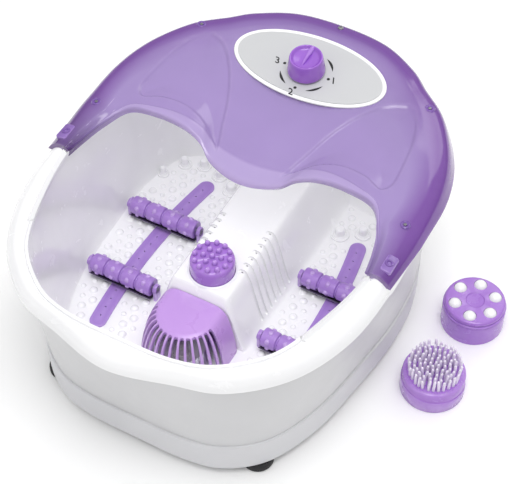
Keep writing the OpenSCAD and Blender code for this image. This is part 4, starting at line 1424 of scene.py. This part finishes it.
    def build(self) -> None:
        """Builds the guard."""
        mesh = thickened(to_mesh("guard_skin", self.skin()), self.wall)
        panel = Panel()
        hole = panel.oval([(-40, -2.7), (40, -2.7)], *panel.half)
        rebate = panel.oval([(-panel.plate - 0.1, 0.3), (40, 0.3)], *panel.half)
        mesh = carved(mesh, [panel.placed(hole), panel.placed(rebate)])
        add_piece("guard_shell", mesh, GUARD, nodes=["splash_guard"], crease=40)
        bosses = [self.boss(side.value * x, y) for x, y in self.bosses for side in Side]
        bosses += [self.end_block(side) for side in Side]
        add_piece("guard_bosses", Shape.joined(bosses), GUARD_BOSS)
        heads = []
        for x, y in (*self.bosses, self.end_screw):
            for side in Side:
                z = self.crest_at(side.value * x, y)
                heads.append(cross_head(1.6, 1.0).placed((side.value * x, y, z)))
        heads.append(cross_head(2.8, 1.6).placed((*self.grip_screw, self.crest_at(*self.grip_screw))))
        add_piece("guard_screw_heads", Shape.joined(heads), STEEL, nodes=["guard_screws"])


@dataclass
class Panel:
    """The oval control panel, its print and its knob."""

    rim: float = 4.0
    plate: float = 2.0
    tray: float = 12.0
    label: float = 1.0
    neck: float = 5.3
    half: Pair = (78.0, 40.0)
    knob_r: float = 18.0
    knob_h: float = 19.0
    lift: float = 1.6

    def __post_init__(self) -> None:
        """Takes the panel's place and tilt from the frame's knob."""
        joint = next(j for j in frame["joints"] if j["child"] == Body.KNOB.value)
        self.origin = np.array(joint["pos_m"]) / MM
        axis = Vector(joint["axis"])
        self.up = -axis if axis.z < 0 else axis
        self.turn = Matrix.Rotation(math.atan2(-self.up.y, self.up.z), 4, "X")
        low, high = box_mm("panel_bezel")
        self.half = ((high - low)[0] / 2, (high - low)[0] / 2 * 40 / 78)

    def placed(self, shape: Shape, on_knob: bool = False) -> Shape:
        """Returns a shape drawn flat, put on the panel, centred on the panel or on the knob."""
        back = 0.0 if on_knob else 6.0
        return shape.placed((0, back, 0)).placed(self.origin, self.turn)

    def oval(self, profile: Sequence[Pair], wide: float, deep: float) -> Shape:
        """Skins ovals that follow a profile of (height, move outwards) pairs.

        Args:
            profile: The (height, move outwards) pairs.
            wide: Half the width of the oval.
            deep: Half its depth.

        Returns:
            The shape.
        """
        angles = np.arange(144) * math.tau / 144
        rings = [
            np.column_stack([(wide + out) * np.cos(angles), (deep + out) * np.sin(angles), np.full(144, z)])
            for z, out in profile
        ]
        return loft(np.array(rings))

    def bezel(self) -> bpy.types.Mesh:
        """Makes the white border and the tray under it.

        Returns:
            The mesh.
        """
        edge = [(-self.tray, -3.2), (-self.tray, -3), (-self.plate, -3), (-self.plate, 0), (-0.6, 0),
                (0, -0.7), (0, -3.2), (-self.label, -self.rim), (-self.label, -12)]
        soft = [(z, out) for out, z in eased([(out, z) for z, out in edge], 0.7)]
        mesh = to_mesh("bezel", self.oval(soft, *self.half))
        bore = revolve([(0, -30), (self.neck, -30), (self.neck, 9), (0, 9)], 40).placed((0, -6, 0))
        return carved(mesh, [bore])

    def face(self) -> bpy.types.Mesh:
        """Makes the label's plate.

        Returns:
            The mesh.
        """
        wide, deep = (half - self.rim - 0.1 for half in self.half)
        mesh = to_mesh("label", self.oval([(-0.9, 0), (-0.2, 0), (-0.05, -0.15), (-0.05, -4)], wide, deep))
        bore = revolve([(0, -30), (self.neck, -30), (self.neck, 9), (0, 9)], 40).placed((0, -6, 0))
        return carved(mesh, [bore])

    def crescent(self, middle: float) -> Shape:
        """Makes one printed crescent round the knob, thickest in its middle.

        Args:
            middle: The angle of its middle, in degrees.

        Returns:
            The shape.
        """
        angles = np.radians(middle + np.linspace(-20, 20, 25))
        swell = 1.15 * np.cos(np.linspace(-math.pi / 2, math.pi / 2, 25)) + 0.05
        rings = []
        for angle, half in zip(angles, swell):
            ray = np.array([math.cos(angle), math.sin(angle)])
            radius = self.knob_r + 6.5
            rings.append([(*(ray * (radius + side * half)), z) for side,
                          z in ((-1, 0), (1, 0), (1, 0.1), (-1, 0.1))])
        return loft(np.array(rings))

    def print(self) -> Shape:
        """Makes the dial's print: three dots, four crescents and the numbers 1 to 3.

        Returns:
            The shape.
        """
        made = [self.crescent(angle) for angle in (45, 135, 225, 315)]
        for number, angle in enumerate((0, 270, 180), start=1):
            ray = np.array([math.cos(math.radians(angle)), math.sin(math.radians(angle))])
            dot = revolve([(0, 0), (1.5, 0), (1.5, 0.1), (0, 0.1)], 24)
            made.append(dot.placed((*(ray * (self.knob_r + 5.0)), 0)))
            made.append(numeral(str(number), 10.5).placed((*(ray * (self.knob_r + 11.5)), 0)))
        return Shape.joined([self.placed(shape.placed((0, 0, 0.02)), on_knob=True) for shape in made])

    def knob(self) -> bpy.types.Mesh:
        """Makes the dished knob with its pointer.

        Returns:
            The mesh.
        """
        radius, height = self.knob_r, self.knob_h
        profile = [(3.05, 3), (5.5, 3), (5.5, 0.3), (radius - 1.4, 0), (radius, 0.6), (radius - 0.1, 3),
                   (radius - 2, height - 2.4), (radius - 2.6, height - 0.9), (radius - 3.6, height - 1.0),
                   (radius - 6, height - 3.6), (6, height - 5.2), (0, height - 5.6), (0, 10), (3.05, 10),
                   (3.05, 3)]
        body = to_mesh("knob", revolve(eased(profile, 1.1, 5), 96))
        tip, tail = radius - 3.3, -9.5
        rows = [(tail, 0.5, height - 4.9), (-2, 1.1, height - 2.6), (tip - 3, 1.9, height - 1.2),
                (tip, 2.3, height - 0.9)]
        fin = np.array([[(-w, y, 11.5), (w, y, 11.5), (w, y, z - 1.0), (w * 0.25, y, z), (-w * 0.25, y, z),
                         (-w, y, z - 0.2)] for y, w, z in rows])
        return carved(body, [loft(fin)], Cut.JOIN)

    def build(self) -> None:
        """Builds the panel and the knob."""
        for name, mesh, finish, node in (("panel_border", self.bezel(), BEZEL, "panel_bezel"),
                                         ("panel_face", self.face(), LABEL, "panel_label")):
            self.seat(mesh)
            add_piece(name, mesh, finish, nodes=[node])
        add_piece("dial_print", self.print(), PRINT)
        knob = self.knob()
        self.seat(knob, self.lift)
        add_piece("control_knob", knob, KNOB, Body.KNOB.value, ["knob"], crease=45)

    def seat(self, mesh: bpy.types.Mesh, lift: float | None = None) -> None:
        """Moves a mesh drawn flat onto the panel, or, with a lift, onto the knob's place."""
        shift = Matrix.Translation((0, 0,
                                    lift * MM)) if lift is not None else Matrix.Translation((0, 6 * MM, 0))
        mesh.transform(Matrix.Translation(Vector(self.origin * MM)) @ self.turn @ shift)


def numeral(text: str, size: float) -> Shape:
    """Makes a thin printed number, upright and centred on the origin.

    Args:
        text: The number.
        size: The letter's size.

    Returns:
        The shape.
    """
    curve = bpy.data.curves.new("numeral", "FONT")
    curve.body, curve.size, curve.extrude = text, size * MM, 0.05 * MM
    curve.align_x, curve.align_y, curve.shear, curve.offset = "CENTER", "CENTER", -0.4, 0.12 * MM
    holder = bpy.data.objects.new("numeral", curve)
    bpy.context.scene.collection.objects.link(holder)
    mesh = bpy.data.meshes.new_from_object(holder.evaluated_get(bpy.context.evaluated_depsgraph_get()))
    points = np.array([v.co for v in mesh.vertices]) / MM
    faces = [tuple(p.vertices) for p in mesh.polygons]
    bpy.data.objects.remove(holder)
    bpy.data.curves.remove(curve)
    bpy.data.meshes.remove(mesh)
    return Shape(points + (0, 0, 0.05), faces)


# ---------------------------------------------------------------- floor fittings
@dataclass
class Roller:
    """One nubbed massage roller with its trough, dark as painted shade, and its two clips."""

    side: Side
    row: Row
    segments: int = 4
    groove: float = 2.4
    nub_r: float = 2.1

    @property
    def node(self) -> str:
        """Name of its node in the frame."""
        return f"roller_{self.side.name.lower()}_{self.row.value}"

    def place(self) -> tuple[float, float, np.ndarray]:
        """Returns its barrel's radius, its length and its centre."""
        low, high = box_mm(self.node)
        return (high - low)[2] / 2 - self.nub_r + 0.6, (high - low)[0], (low + high) / 2

    def barrel(self) -> Shape:
        """Makes the roller: rounded segments with a bead between them, and rows of nubs.

        Returns:
            The shape.
        """
        radius, length, centre = self.place()
        pitch = (length + self.groove) / self.segments
        profile = [(2.05, -length / 2), (radius - 1.6, -length / 2)]
        for step in range(self.segments):
            start = -length / 2 + step * pitch
            end = start + pitch - self.groove
            profile += [(radius - 0.4, start + 0.05), (radius, start + 0.9), (radius, end - 0.9),
                        (radius - 0.4, end - 0.05)]
            if step < self.segments - 1:
                bead = end + self.groove / 2
                profile += [(radius - 2, end + 0.3), (radius - 1.1, bead),
                            (radius - 2, bead + self.groove / 2 - 0.3)]
        profile += [(radius - 1.6, length / 2), (2.05, length / 2), (2.05, -length / 2)]
        barrel = revolve(eased(profile, 0.5, 3), 48)
        return barrel.placed(centre, Matrix.Rotation(math.pi / 2, 4, "Y"))

    def nubs(self) -> Shape:
        """Makes the rows of nubs round each segment.

        Returns:
            The shape.
        """
        radius, length, centre = self.place()
        pitch = (length + self.groove) / self.segments
        made = []
        nub = dome(2.35, 1.85, foot=1.25, sink=0.8, count=18)
        for step in range(self.segments):
            middle = -length / 2 + step * pitch + (pitch - self.groove) / 2
            for angle in range(0, 360, 60):
                turn = Matrix.Rotation(math.radians(angle + 30 * (step % 2)), 4,
                                       "Z") @ Matrix.Rotation(math.pi / 2, 4, "Y")
                reach = np.array(turn.to_3x3() @ Vector((0, 0, radius - 0.4)))
                made.append(nub.placed(reach + (0, 0, middle), turn))
        return Shape.joined(made).placed(centre, Matrix.Rotation(math.pi / 2, 4, "Y"))

    def trough(self) -> Shape:
        """Makes the trough that the roller turns in, coloured dark as painted shade under the roller.

        Returns:
            The shape.
        """
        radius, length, centre = self.place()
        outer, inner = radius + 2.6, radius + 1.9
        angles = np.radians(np.linspace(212, 328, 17))
        section = [(outer * math.cos(a), outer * math.sin(a)) for a in angles]
        section += [(inner * math.cos(a), inner * math.sin(a)) for a in angles[::-1]]
        rings = [[(end * (length / 2 + 0.6), y, z) for y, z in section] for end in (-1, 1)]
        return loft(np.array(rings)).placed(centre)

    def clips(self) -> Shape:
        """Makes the two hooked clips that hold the axle.

        Returns:
            The shape.
        """
        _, length, centre = self.place()
        made = []
        for end in (-1, 1):
            x = centre[0] + end * (length / 2 + 3.5)
            post = slab((4, 9, centre[2] - 34 + 1.5), 1.0).placed((x, centre[1], 34))
            eye = revolve(eased([(2.05, -2), (5, -2), (5, 2), (2.05, 2), (2.05, -2)], 0.7), 32)
            made += [post, eye.placed((x, centre[1], centre[2]), Matrix.Rotation(math.pi / 2, 4, "Y"))]
            if end != self.side.value:
                made.append(slab((4, 6, 3.4), 0.6).placed((x, centre[1], centre[2] + 1.4)))
                continue
            hook = np.array([(x, centre[1] - 3, centre[2] + 3.2), (x, centre[1] + 0.5, centre[2] + 4.4),
                             (x, centre[1] + 4.4, centre[2] + 3.6), (x, centre[1] + 4.6, centre[2] - 1)])
            made.append(tube(through(hook, np.linspace(0, 3, 13)), 1.0, 10))
        return Shape.joined(made)

    def build(self) -> None:
        """Builds the roller on its own body, its trough of painted shade on the basin."""
        add_piece(f"{self.node}_barrel", self.barrel(), ROLLER, self.node, [self.node])
        add_piece(f"{self.node}_nubs", self.nubs(), NUB, self.node)
        add_piece(f"{self.node}_trough", self.trough(), ROLLER_SHADE_TROUGH)


@dataclass
class Strip:
    """A bubble strip along one foot well, with its row of air holes."""

    side: Side
    width: float = 16.5
    ends: tuple[Pair, Pair] = ((91, -84), (86, 112))
    bow: float = 7.7
    holes: int = 18

    @classmethod
    def middle_at(cls, y: float) -> float:
        """Works out how far from the middle the strip runs at a place along the basin.

        Args:
            y: The place along the basin.

        Returns:
            The distance from the middle plane.
        """
        (front_x, front_y), (back_x, back_y) = cls.ends
        share = (y - front_y) / (back_y - front_y)
        return front_x + (back_x - front_x) * share + 4 * share * (1 - share) * cls.bow

    def line(self, share: np.ndarray) -> np.ndarray:
        """Makes points of the strip's middle line, bowed outwards, at shares of its length.

        Args:
            share: Shares of the length.

        Returns:
            The points.
        """
        front, back = (np.array(end, float) for end in self.ends)
        spots = between(front, back, share[:, None])
        spots[:, 0] += 4 * share * (1 - share) * self.bow
        return spots * STRETCH

    def outline(self, inset: float) -> np.ndarray:
        """Makes the strip's outline, anticlockwise.

        Args:
            inset: How far inside the edge it runs.

        Returns:
            The points.
        """
        radius = self.width / 2 - inset
        share = np.linspace(0, 1, 25)
        spots = self.line(share)
        along = unit(np.gradient(spots, axis=0))
        right = np.column_stack([along[:, 1], -along[:, 0]])
        round_end = np.linspace(0, math.pi, 13)[1:-1, None]
        back = spots[-1] + radius * (np.cos(round_end) * right[-1] + np.sin(round_end) * along[-1])
        front = spots[0] - radius * (np.cos(round_end) * right[0] + np.sin(round_end) * along[0])
        return np.vstack([spots + radius * right, back, (spots - radius * right)[::-1], front])

    def build(self) -> None:
        """Builds the strip."""
        node = f"bubble_strip_{self.side.name.lower()}"
        low, high = box_mm(node)
        levels = [(0, low[2]), (0, high[2] - 0.5), (0.15, high[2] - 0.15), (0.5, high[2]), (3.5, high[2])]
        plans = [(self.outline(inset), z) for inset, z in levels]
        rings = np.array([np.column_stack([plan, np.full(len(plan), z)]) for plan, z in plans])
        bore = revolve([(0, -4), (0.85, -4), (0.85, 4), (0, 4)], 14)
        spots = self.line((np.arange(self.holes) + 0.5) / self.holes)
        shape, holes = loft(rings), Shape.joined(bore.placed((*spot, high[2])) for spot in spots)
        if self.side is Side.LEFT:
            shape, holes = shape.mirrored(), holes.mirrored()
        mesh = carved(to_mesh(node, shape), [holes])
        add_piece(f"{node}_plate", mesh, STRIP, nodes=[node])


@dataclass
class HeatLamp:
    """The slotted lamp cover at the front of the ridge, with its reflector."""

    base_hw: float = 42.0
    wall: float = 2.2
    slots: int = 15
    corner: float = 4.0

    def __post_init__(self) -> None:
        """Takes the cover's place from the frame."""
        low, high = box_mm("lamp_cover")
        self.base_hw = (high - low)[0] / 2
        self.base_z, self.top_z = low[2], high[2]
        self.back_y = high[1]
        self.mid_y = low[1] + self.base_hw

    def ring(self, half: float, shift: float, z: float, back: float) -> np.ndarray:
        """Makes a ring of the cover: straight sides, a round front and small round corners at the back.

        Args:
            half: Half the cover's width there.
            shift: How far forwards it is moved.
            z: Its height.
            back: Where its back edge stands.

        Returns:
            The points.
        """
        middle = self.mid_y + shift
        front = [(half * math.cos(a),
                  middle + half * math.sin(a)) for a in np.radians(np.linspace(180, 360, 49))]
        soft = self.corner
        corner = [(half - soft + soft * math.cos(a),
                   back - soft + soft * math.sin(a)) for a in np.radians(np.linspace(0, 90, 7))]
        plan = [*front, *corner, *((-x, y) for x, y in reversed(corner))]
        return np.array([(x, y, z) for x, y in plan])

    def body(self, inset: float, top: float) -> Shape:
        """Makes the cover's outside, or its hollow with an inset.

        Args:
            inset: How far inside the cover it lies.
            top: The height of its top.

        Returns:
            The shape.
        """
        rise = top - self.base_z
        levels = [(0, 0, 0), (0, 0, 2.5), (1.2, 0.4, 14), (3.2, 1.0, 26), (5.6, 1.8, 36), (7.6, 2.4, 42.5),
                  (9.8, 3.2, 47.5), (12.8, 4.2, 51.3), (16.2, 4.8, 53.3), (20.0, 5.2, 54)]
        rings = [
            self.ring(self.base_hw - fall - inset, shift, self.base_z + up * rise / 54, self.back_y - inset)
            for fall, shift, up in levels
        ]
        smooth_rings = through(np.array(rings), np.linspace(0, len(rings) - 1, 41))
        lid = smooth_rings[-1] * (1, 1, 1)
        centre = np.array([0, lid[:, 1].mean(), lid[0, 2]])
        return loft(np.concatenate([smooth_rings, [between(centre, lid, 0.5)]]))

    def slot(self, angle: float) -> Shape:
        """Makes one slot's cutter: a blade that widens outwards, round at its foot and open at the top.

        Args:
            angle: The slot's direction, in degrees.

        Returns:
            The shape.
        """
        low, high = self.base_z + 7, self.top_z + 4
        angles = np.linspace(math.pi, math.tau, 11)
        rings = []
        for reach, width in ((27.4, 1.1), (28.4, 1.9), (34.0, 2.3), (60.0, 3.6)):
            foot = [(reach, width * math.cos(a), low + width + width * math.sin(a)) for a in angles]
            rings.append([*foot, (reach, width, high), (reach, -width, high)])
        rings = np.array(rings)
        return loft(rings).placed((0, self.mid_y + 4, 0), Matrix.Rotation(math.radians(angle), 4, "Z"))

    def build(self) -> None:
        """Builds the lamp."""
        mesh = to_mesh("lamp_cover", self.body(0, self.top_z))
        hollow = self.body(self.wall, self.top_z - self.wall).placed((0, 0, -0.01))
        hollow.points[:, 2] = np.where(hollow.points[:, 2] < self.base_z + 0.5, self.base_z - 3,
                                       hollow.points[:, 2])
        blades = [self.slot(192 + 156 * step / (self.slots - 1)) for step in range(self.slots)]
        mesh = carved(mesh, [hollow, *blades])
        add_piece("lamp_cover_shell", mesh, LAMP, nodes=["lamp_cover"], crease=42)
        low, high = box_mm("lamp_reflector")
        wide, rise = (high - low)[0] / 2, (high - low)[2]
        profile = [(8, 0), (wide, 0), (wide, 2), (wide - 1.6, rise * 0.4), (wide - 4.4, rise),
                   (wide - 5.2, rise), (wide - 4, rise * 0.45), (8, 3), (8, 0)]
        middle = (low + high) / 2
        reflector = revolve(eased(profile, 1.0), 72).placed((0, middle[1], low[2]))
        add_piece("lamp_reflector_bowl", reflector, MIRROR, nodes=["lamp_reflector"])


# ---------------------------------------------------------------- massage heads
def on_circle(radius: float, angle: float, z: float) -> tuple[float, float, float]:
    """Returns the point of a level circle round the Z axis at an angle in radians."""
    return radius * math.cos(angle), radius * math.sin(angle), z


HEAD_WALL = 2.4
SOCKET_R = 5.3
SOCKET_OUTER_R = 7.1


def head_underside(radius: float, top: float, depth: float) -> list[Pair]:
    """Lays out the underside of a massage head: its hollow and the socket for the peg.

    Args:
        radius: The head's radius.
        top: The height of its top.
        depth: How far under the top the hollow ends.

    Returns:
        The profile from the middle of the top to the wall's foot.
    """
    roof = top - depth
    return [(0, top), (0, roof), (SOCKET_R, roof), (SOCKET_R, 0.6), (SOCKET_OUTER_R, 0.6),
            (SOCKET_OUTER_R, roof), (radius - HEAD_WALL, roof), (radius - HEAD_WALL, 0)]


@dataclass
class SeatedHead:
    """The nub head in its holder on the ridge."""

    nub_rings: tuple[tuple[float, int], ...] = ((0, 1), (8.4, 6), (16.6, 12))
    nub_r: float = 2.3

    def build(self) -> None:
        """Builds the holder and the nub head."""
        low, high = box_mm("head_holder")
        middle, wide = (low + high) / 2, (high - low)[0] / 2
        cup, recess = wide - 1, wide - 2.2
        profile = [(0, 0), (cup, 0), (cup, 11), (wide, 11.1), (wide, 11.5), (cup - 0.2, 12),
                   (recess + 0.2, 12), (recess, 11.6), (recess, 2), (5, 2), (5, 8), (4, 9), (0, 9)]
        add_piece("head_holder_cup", revolve(eased(profile, 0.3, 3), 84).placed((0, middle[1], low[2])),
                  HOLDER_WHITE, nodes=["head_holder"])
        low, high = box_mm("nub_head")
        radius = (high - low)[0] / 2
        top = (high - low)[2] - self.nub_r - 3
        shell = [(radius - HEAD_WALL, 0), (radius, 0.4), (radius, top - 4), (radius - 0.9, top - 1.2),
                 (radius - 3.2, top), *head_underside(radius, top, 12)]
        made = [revolve(eased(shell, 1.2, 5), 84)]
        size = self.nub_r * 1.1
        stem = [(size * 1.25, -1), (size * 1.2, 0), (size * 0.86, 0.7), (size * 0.8, 2.2)]
        stem += [(size * math.cos(a), 2.7 + size * math.sin(a)) for a in np.linspace(-0.5, math.pi / 2, 9)]
        nub = revolve(stem, 20)
        for reach, count in self.nub_rings:
            for step in range(count):
                angle = math.tau * step / count + math.radians(15)
                made.append(nub.placed(on_circle(reach, angle, top - (0.5 if reach > 15 else 0.1))))
        add_piece("nub_head_shell", Shape.joined(made).placed((0, middle[1], low[2])), HEAD,
                  Body.NUB_HEAD.value, ["nub_head"])


@dataclass
class BallHead:
    """The loose head with six rolling balls."""

    ring_r: float = 20.0
    seat_r: float = 6.9
    lid: float = 5.0
    balls: int = 6

    def build(self) -> None:
        """Builds the cup and its lid."""
        low, high = box_mm("ball_head_cup")
        centre = (low + high) / 2
        radius, height = (high - low)[0] / 2, (high - low)[2]
        ball_low, ball_high = box_mm("ball_1")
        ball_z = (ball_low + ball_high)[2] / 2
        first = math.atan2(*((ball_low + ball_high) / 2 - centre)[1::-1])
        seats = []
        for step in range(self.balls):
            angle = first + math.tau * step / self.balls
            turn = np.linspace(-math.pi / 2, math.pi / 2, 17)
            seat = revolve([(self.seat_r * math.cos(a), self.seat_r * math.sin(a)) for a in turn], 32)
            seats.append(seat.placed(on_circle(self.ring_r, angle, ball_z)))
        cup = [(radius - HEAD_WALL, 0), (radius - 0.3, 0), (radius, 1.0), (radius, height - 3.4),
               (radius - 0.5, height - 3.1), (radius - 0.5, height - 2.3), (radius, height - 2),
               (radius, height - 0.6), (radius - 0.7, height), *head_underside(radius, height, 16)]
        mesh = carved(to_mesh("cup", revolve(eased(cup, 0.35, 3), 96)), seats)
        mesh.transform(Matrix.Translation((centre[0] * MM, centre[1] * MM, 0)))
        add_piece("ball_head_shell", mesh, HEAD, Body.BALL_HEAD.value, ["ball_head_cup"])
        low, high = box_mm("ball_head_lid")
        wide = (high - low)[0] / 2
        lid = [(0, 0), (wide - 1.5, 0), (wide, 1), (wide, self.lid - 2.2), (wide - 1, self.lid - 0.6),
               (wide - 2.4, self.lid - 0.05), (9.2, self.lid), (8.6, self.lid - 0.8), (0, self.lid - 0.8)]
        shape = revolve(eased(lid, 0.5, 4), 96).placed((0, 0, low[2]))
        mesh = carved(to_mesh("lid", shape), seats)
        mesh.transform(Matrix.Translation((centre[0] * MM, centre[1] * MM, 0)))
        add_piece("ball_head_cap", mesh, HEAD, Body.BALL_HEAD.value, ["ball_head_lid"])


@dataclass
class BrushHead:
    """The loose head with its field of soft bristles."""

    rings: tuple[tuple[float, int], ...] = ((0, 1), (4.7, 6), (9.4, 12), (14.1, 18), (18.8, 24), (23.4, 30))
    seed: int = 11
    lean: float = 0.045

    def build(self) -> None:
        """Builds the cup and the bristles."""
        low, high = box_mm("brush_head_cup")
        centre = (low + high) / 2
        radius, height = (high - low)[0] / 2, (high - low)[2]
        count = 120
        angles = np.arange(count) * math.tau / count
        wave = 13 + 4.5 * np.cos(angles + 1.9) + 1.5 * np.cos(2 * angles)
        flat = np.ones(count)
        levels = [((radius - 2.4) * flat, 3 * flat), ((radius - 2.4) * flat, 0 * flat),
                  ((radius - 0.6) * flat, 0 * flat), (radius * flat, 0.8 * flat),
                  (radius * flat, wave - 0.5), ((radius - 0.25) * flat, wave + 0.1),
                  ((radius - 0.75) * flat, wave + 0.5), ((radius - 0.75) * flat, (height - 2.4) * flat),
                  ((radius - 1.4) * flat, (height - 0.8) * flat), ((radius - 2.6) * flat,
                                                                   (height - 0.1) * flat),
                  ((radius - 5) * flat, height * flat), (0 * flat, height * flat)]
        rings = np.array([np.column_stack([r * np.cos(angles), r * np.sin(angles), z]) for r, z in levels])
        cup = loft(rings, capped=False)
        rim_nub = dome(0.75, 0.5, count=8, sink=0.3)
        studs = [
            rim_nub.placed(on_circle(radius - 3.6, a, height - 0.05))
            for a in np.arange(44) * math.tau / 44
        ]
        add_piece("brush_head_shell", Shape.joined([cup, *studs]).placed((centre[0], centre[1], 0)), HEAD,
                  Body.BRUSH_HEAD.value, ["brush_head_cup"])
        chance = np.random.default_rng(self.seed)
        tip = box_mm("brush_bristles")[1][2]
        length = tip - height
        made = []
        for reach, number in self.rings:
            for step in range(number):
                angle = math.tau * step / number + reach * 0.12 + chance.uniform(-0.05, 0.05)
                spread = reach * (1 + chance.uniform(-0.02, 0.02))
                profile = [(1.5, -2), (1.5, 0), (1.6, length * 0.35), (1.5, length * 0.75),
                           (1.25, length - 1.0), (0.7, length - 0.3), (0, length - 0.1)]
                bristle = revolve(eased(profile, 0.8, 2), 12)
                share = np.maximum(bristle.points[:, 2] / length, 0) ** 1.5
                tilt = chance.normal(0, self.lean, 2) + np.array([math.cos(angle),
                                                                  math.sin(angle)]) * 0.05 * reach / 25
                bristle.points[:, :2] += share[:, None] * tilt * length
                bristle.points[:, 2] *= 1 - 0.08 * chance.random() * share
                made.append(bristle.placed(on_circle(spread, angle, height)))
        add_piece("brush_head_bristles", Shape.joined(made).placed((centre[0], centre[1], 0)), BRISTLE,
                  Body.BRUSH_HEAD.value, ["brush_bristles"])


# ---------------------------------------------------------------- what stays from the frame
CARRIED: dict[str, Finish] = {"control_housing": INNER, "rotary_switch": INNER, "switch_nut": STEEL,
                              "switch_shaft": STEEL, "axle_left_front": STEEL, "axle_left_rear": STEEL,
                              "axle_right_front": STEEL, "axle_right_rear": STEEL, "lamp_lens": LENS,
                              "lamp_bulbs": BULB, "heating_plate": STEEL, "thermostat": INNER,
                              "motor_housing": STEEL, "motor_shaft": STEEL, "eccentric_weight": STEEL,
                              "impeller": INNER, "blower_housing": INNER, "blower_cover": INNER,
                              "motor_bracket": STEEL, "motor_screws": STEEL, "air_manifold": INNER,
                              "air_hose_left": HOSE, "air_hose_right": HOSE, "terminal_block": INNER,
                              **{f"ball_{number}": BALL for number in range(1, 7)},}


def dress_carried_nodes() -> None:
    """Gives each node that stays in view its finish."""
    for name, finish in CARRIED.items():
        node = frame["nodes"][name]
        node.data.materials.clear()
        node.data.materials.append(finish.material())
        log.info("node %s keeps its mesh, in %s", name, finish.name)


# ---------------------------------------------------------------- studio
@dataclass
class Studio:
    """The pale floor, the soft lights and the camera."""

    place: tuple[float, float, float] = (0.4356, -0.7324, 1.1225)
    azimuth: float = 28.69
    elevation: float = 49.82
    lens: float = 100.46
    floor_reach: float = 12.0
    lights: tuple[tuple[str, tuple[float, float, float], float, float], ...] = (
        ("key", (0.45, -0.35, 2.3), 1.1, 17.0),
        ("fill", (-1.2, -1.3, 1.9), 1.0, 1.5),
        ("rim", (0.3, 1.9, 1.8), 1.0, 5.0),
    )
    sky: Pair = (0.16, 1.12)
    spot_place: tuple[float, float, float] = (0.1, -0.75, 1.7)
    spot_aim: tuple[float, float, float] = (0, 0.02, 0.1)
    spot_power: float = 27.0
    spot_cone: float = 15.0
    spot_size: float = 0.25
    spot_blend: float = 0.9

    def floor(self) -> None:
        """Adds the floor."""
        mesh = bpy.data.meshes.new("studio_floor")
        reach = self.floor_reach
        mesh.from_pydata([(-reach, -reach, 0), (reach, -reach, 0), (reach, reach, 0), (-reach, reach, 0)],
                         [], [(0, 1, 2, 3)])
        floor = bpy.data.objects.new("studio_floor", mesh)
        bpy.context.scene.collection.objects.link(floor)
        mesh.materials.append(MouldedPlastic("studio_paper", "basin_white", (255, 255, 255), 0.9,
                                             shade=(254, 254, 254), coat=0).material())

    def light(self, name: str, place: Sequence[float], size: float, power: float) -> None:
        """Adds one soft square light that faces the basin.

        Args:
            name: The light's name.
            place: Where it stands, in metres.
            size: The length of its side.
            power: Its power in watts.
        """
        data = bpy.data.lights.new(name, "AREA")
        data.shape, data.size, data.energy = "SQUARE", size, power
        lamp = bpy.data.objects.new(name, data)
        lamp.location = place
        lamp.rotation_euler = (Vector((0, 0, 0.1)) - Vector(place)).to_track_quat("-Z", "Y").to_euler()
        bpy.context.scene.collection.objects.link(lamp)

    def basin_light(self) -> None:
        """Adds a soft spot that shines down into the basin's mouth."""
        data = bpy.data.lights.new("basin_light", "SPOT")
        data.energy, data.shadow_soft_size = self.spot_power, self.spot_size
        data.spot_size, data.spot_blend = math.radians(self.spot_cone), self.spot_blend
        lamp = bpy.data.objects.new("basin_light", data)
        lamp.location = self.spot_place
        lamp.rotation_euler = (Vector(self.spot_aim) - lamp.location).to_track_quat("-Z", "Y").to_euler()
        bpy.context.scene.collection.objects.link(lamp)

    def camera(self) -> None:
        """Adds the camera."""
        data = bpy.data.cameras.new("camera")
        data.lens, data.sensor_width = self.lens, 36.0
        data.clip_end = 50.0
        camera = bpy.data.objects.new("camera", data)
        camera.location = self.place
        camera.rotation_euler = (math.radians(90 - self.elevation), 0, math.radians(self.azimuth))
        bpy.context.scene.collection.objects.link(camera)
        bpy.context.scene.camera = camera

    def build(self) -> None:
        """Sets up the studio."""
        world = bpy.data.worlds.new("studio_air")
        world.use_nodes = True
        wire = Wiring(world.node_tree)
        rise = wire.add("SeparateXYZ", Vector=wire.add("TexCoord").outputs["Generated"]).outputs["Z"]
        air = world.node_tree.nodes["Background"]
        air.inputs["Color"].default_value = (1, 1, 1, 1)
        world.node_tree.links.new(wire.ranged(rise, 0.0, 1.0, self.sky), air.inputs["Strength"])
        bpy.context.scene.world = world
        bpy.context.scene.view_settings.view_transform = "Standard"
        self.floor()
        for light in self.lights:
            self.light(*light)
        self.basin_light()
        self.camera()


def main() -> None:
    """Builds every sub-assembly in order."""
    logging.basicConfig(level=logging.INFO, format="%(message)s")
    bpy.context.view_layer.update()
    Studio().build()
    Tub().build()
    Casing().build()
    SplashGuard().build()
    Panel().build()
    rollers = [Roller(side, row) for side in Side for row in Row]
    for roller in rollers:
        roller.build()
    add_piece("roller_clips", Shape.joined(roller.clips() for roller in rollers), ROLLER,
              nodes=["roller_brackets"])
    for side in Side:
        Strip(side).build()
    HeatLamp().build()
    SeatedHead().build()
    BallHead().build()
    BrushHead().build()
    dress_carried_nodes()


if __name__ == "__main__":
    main()
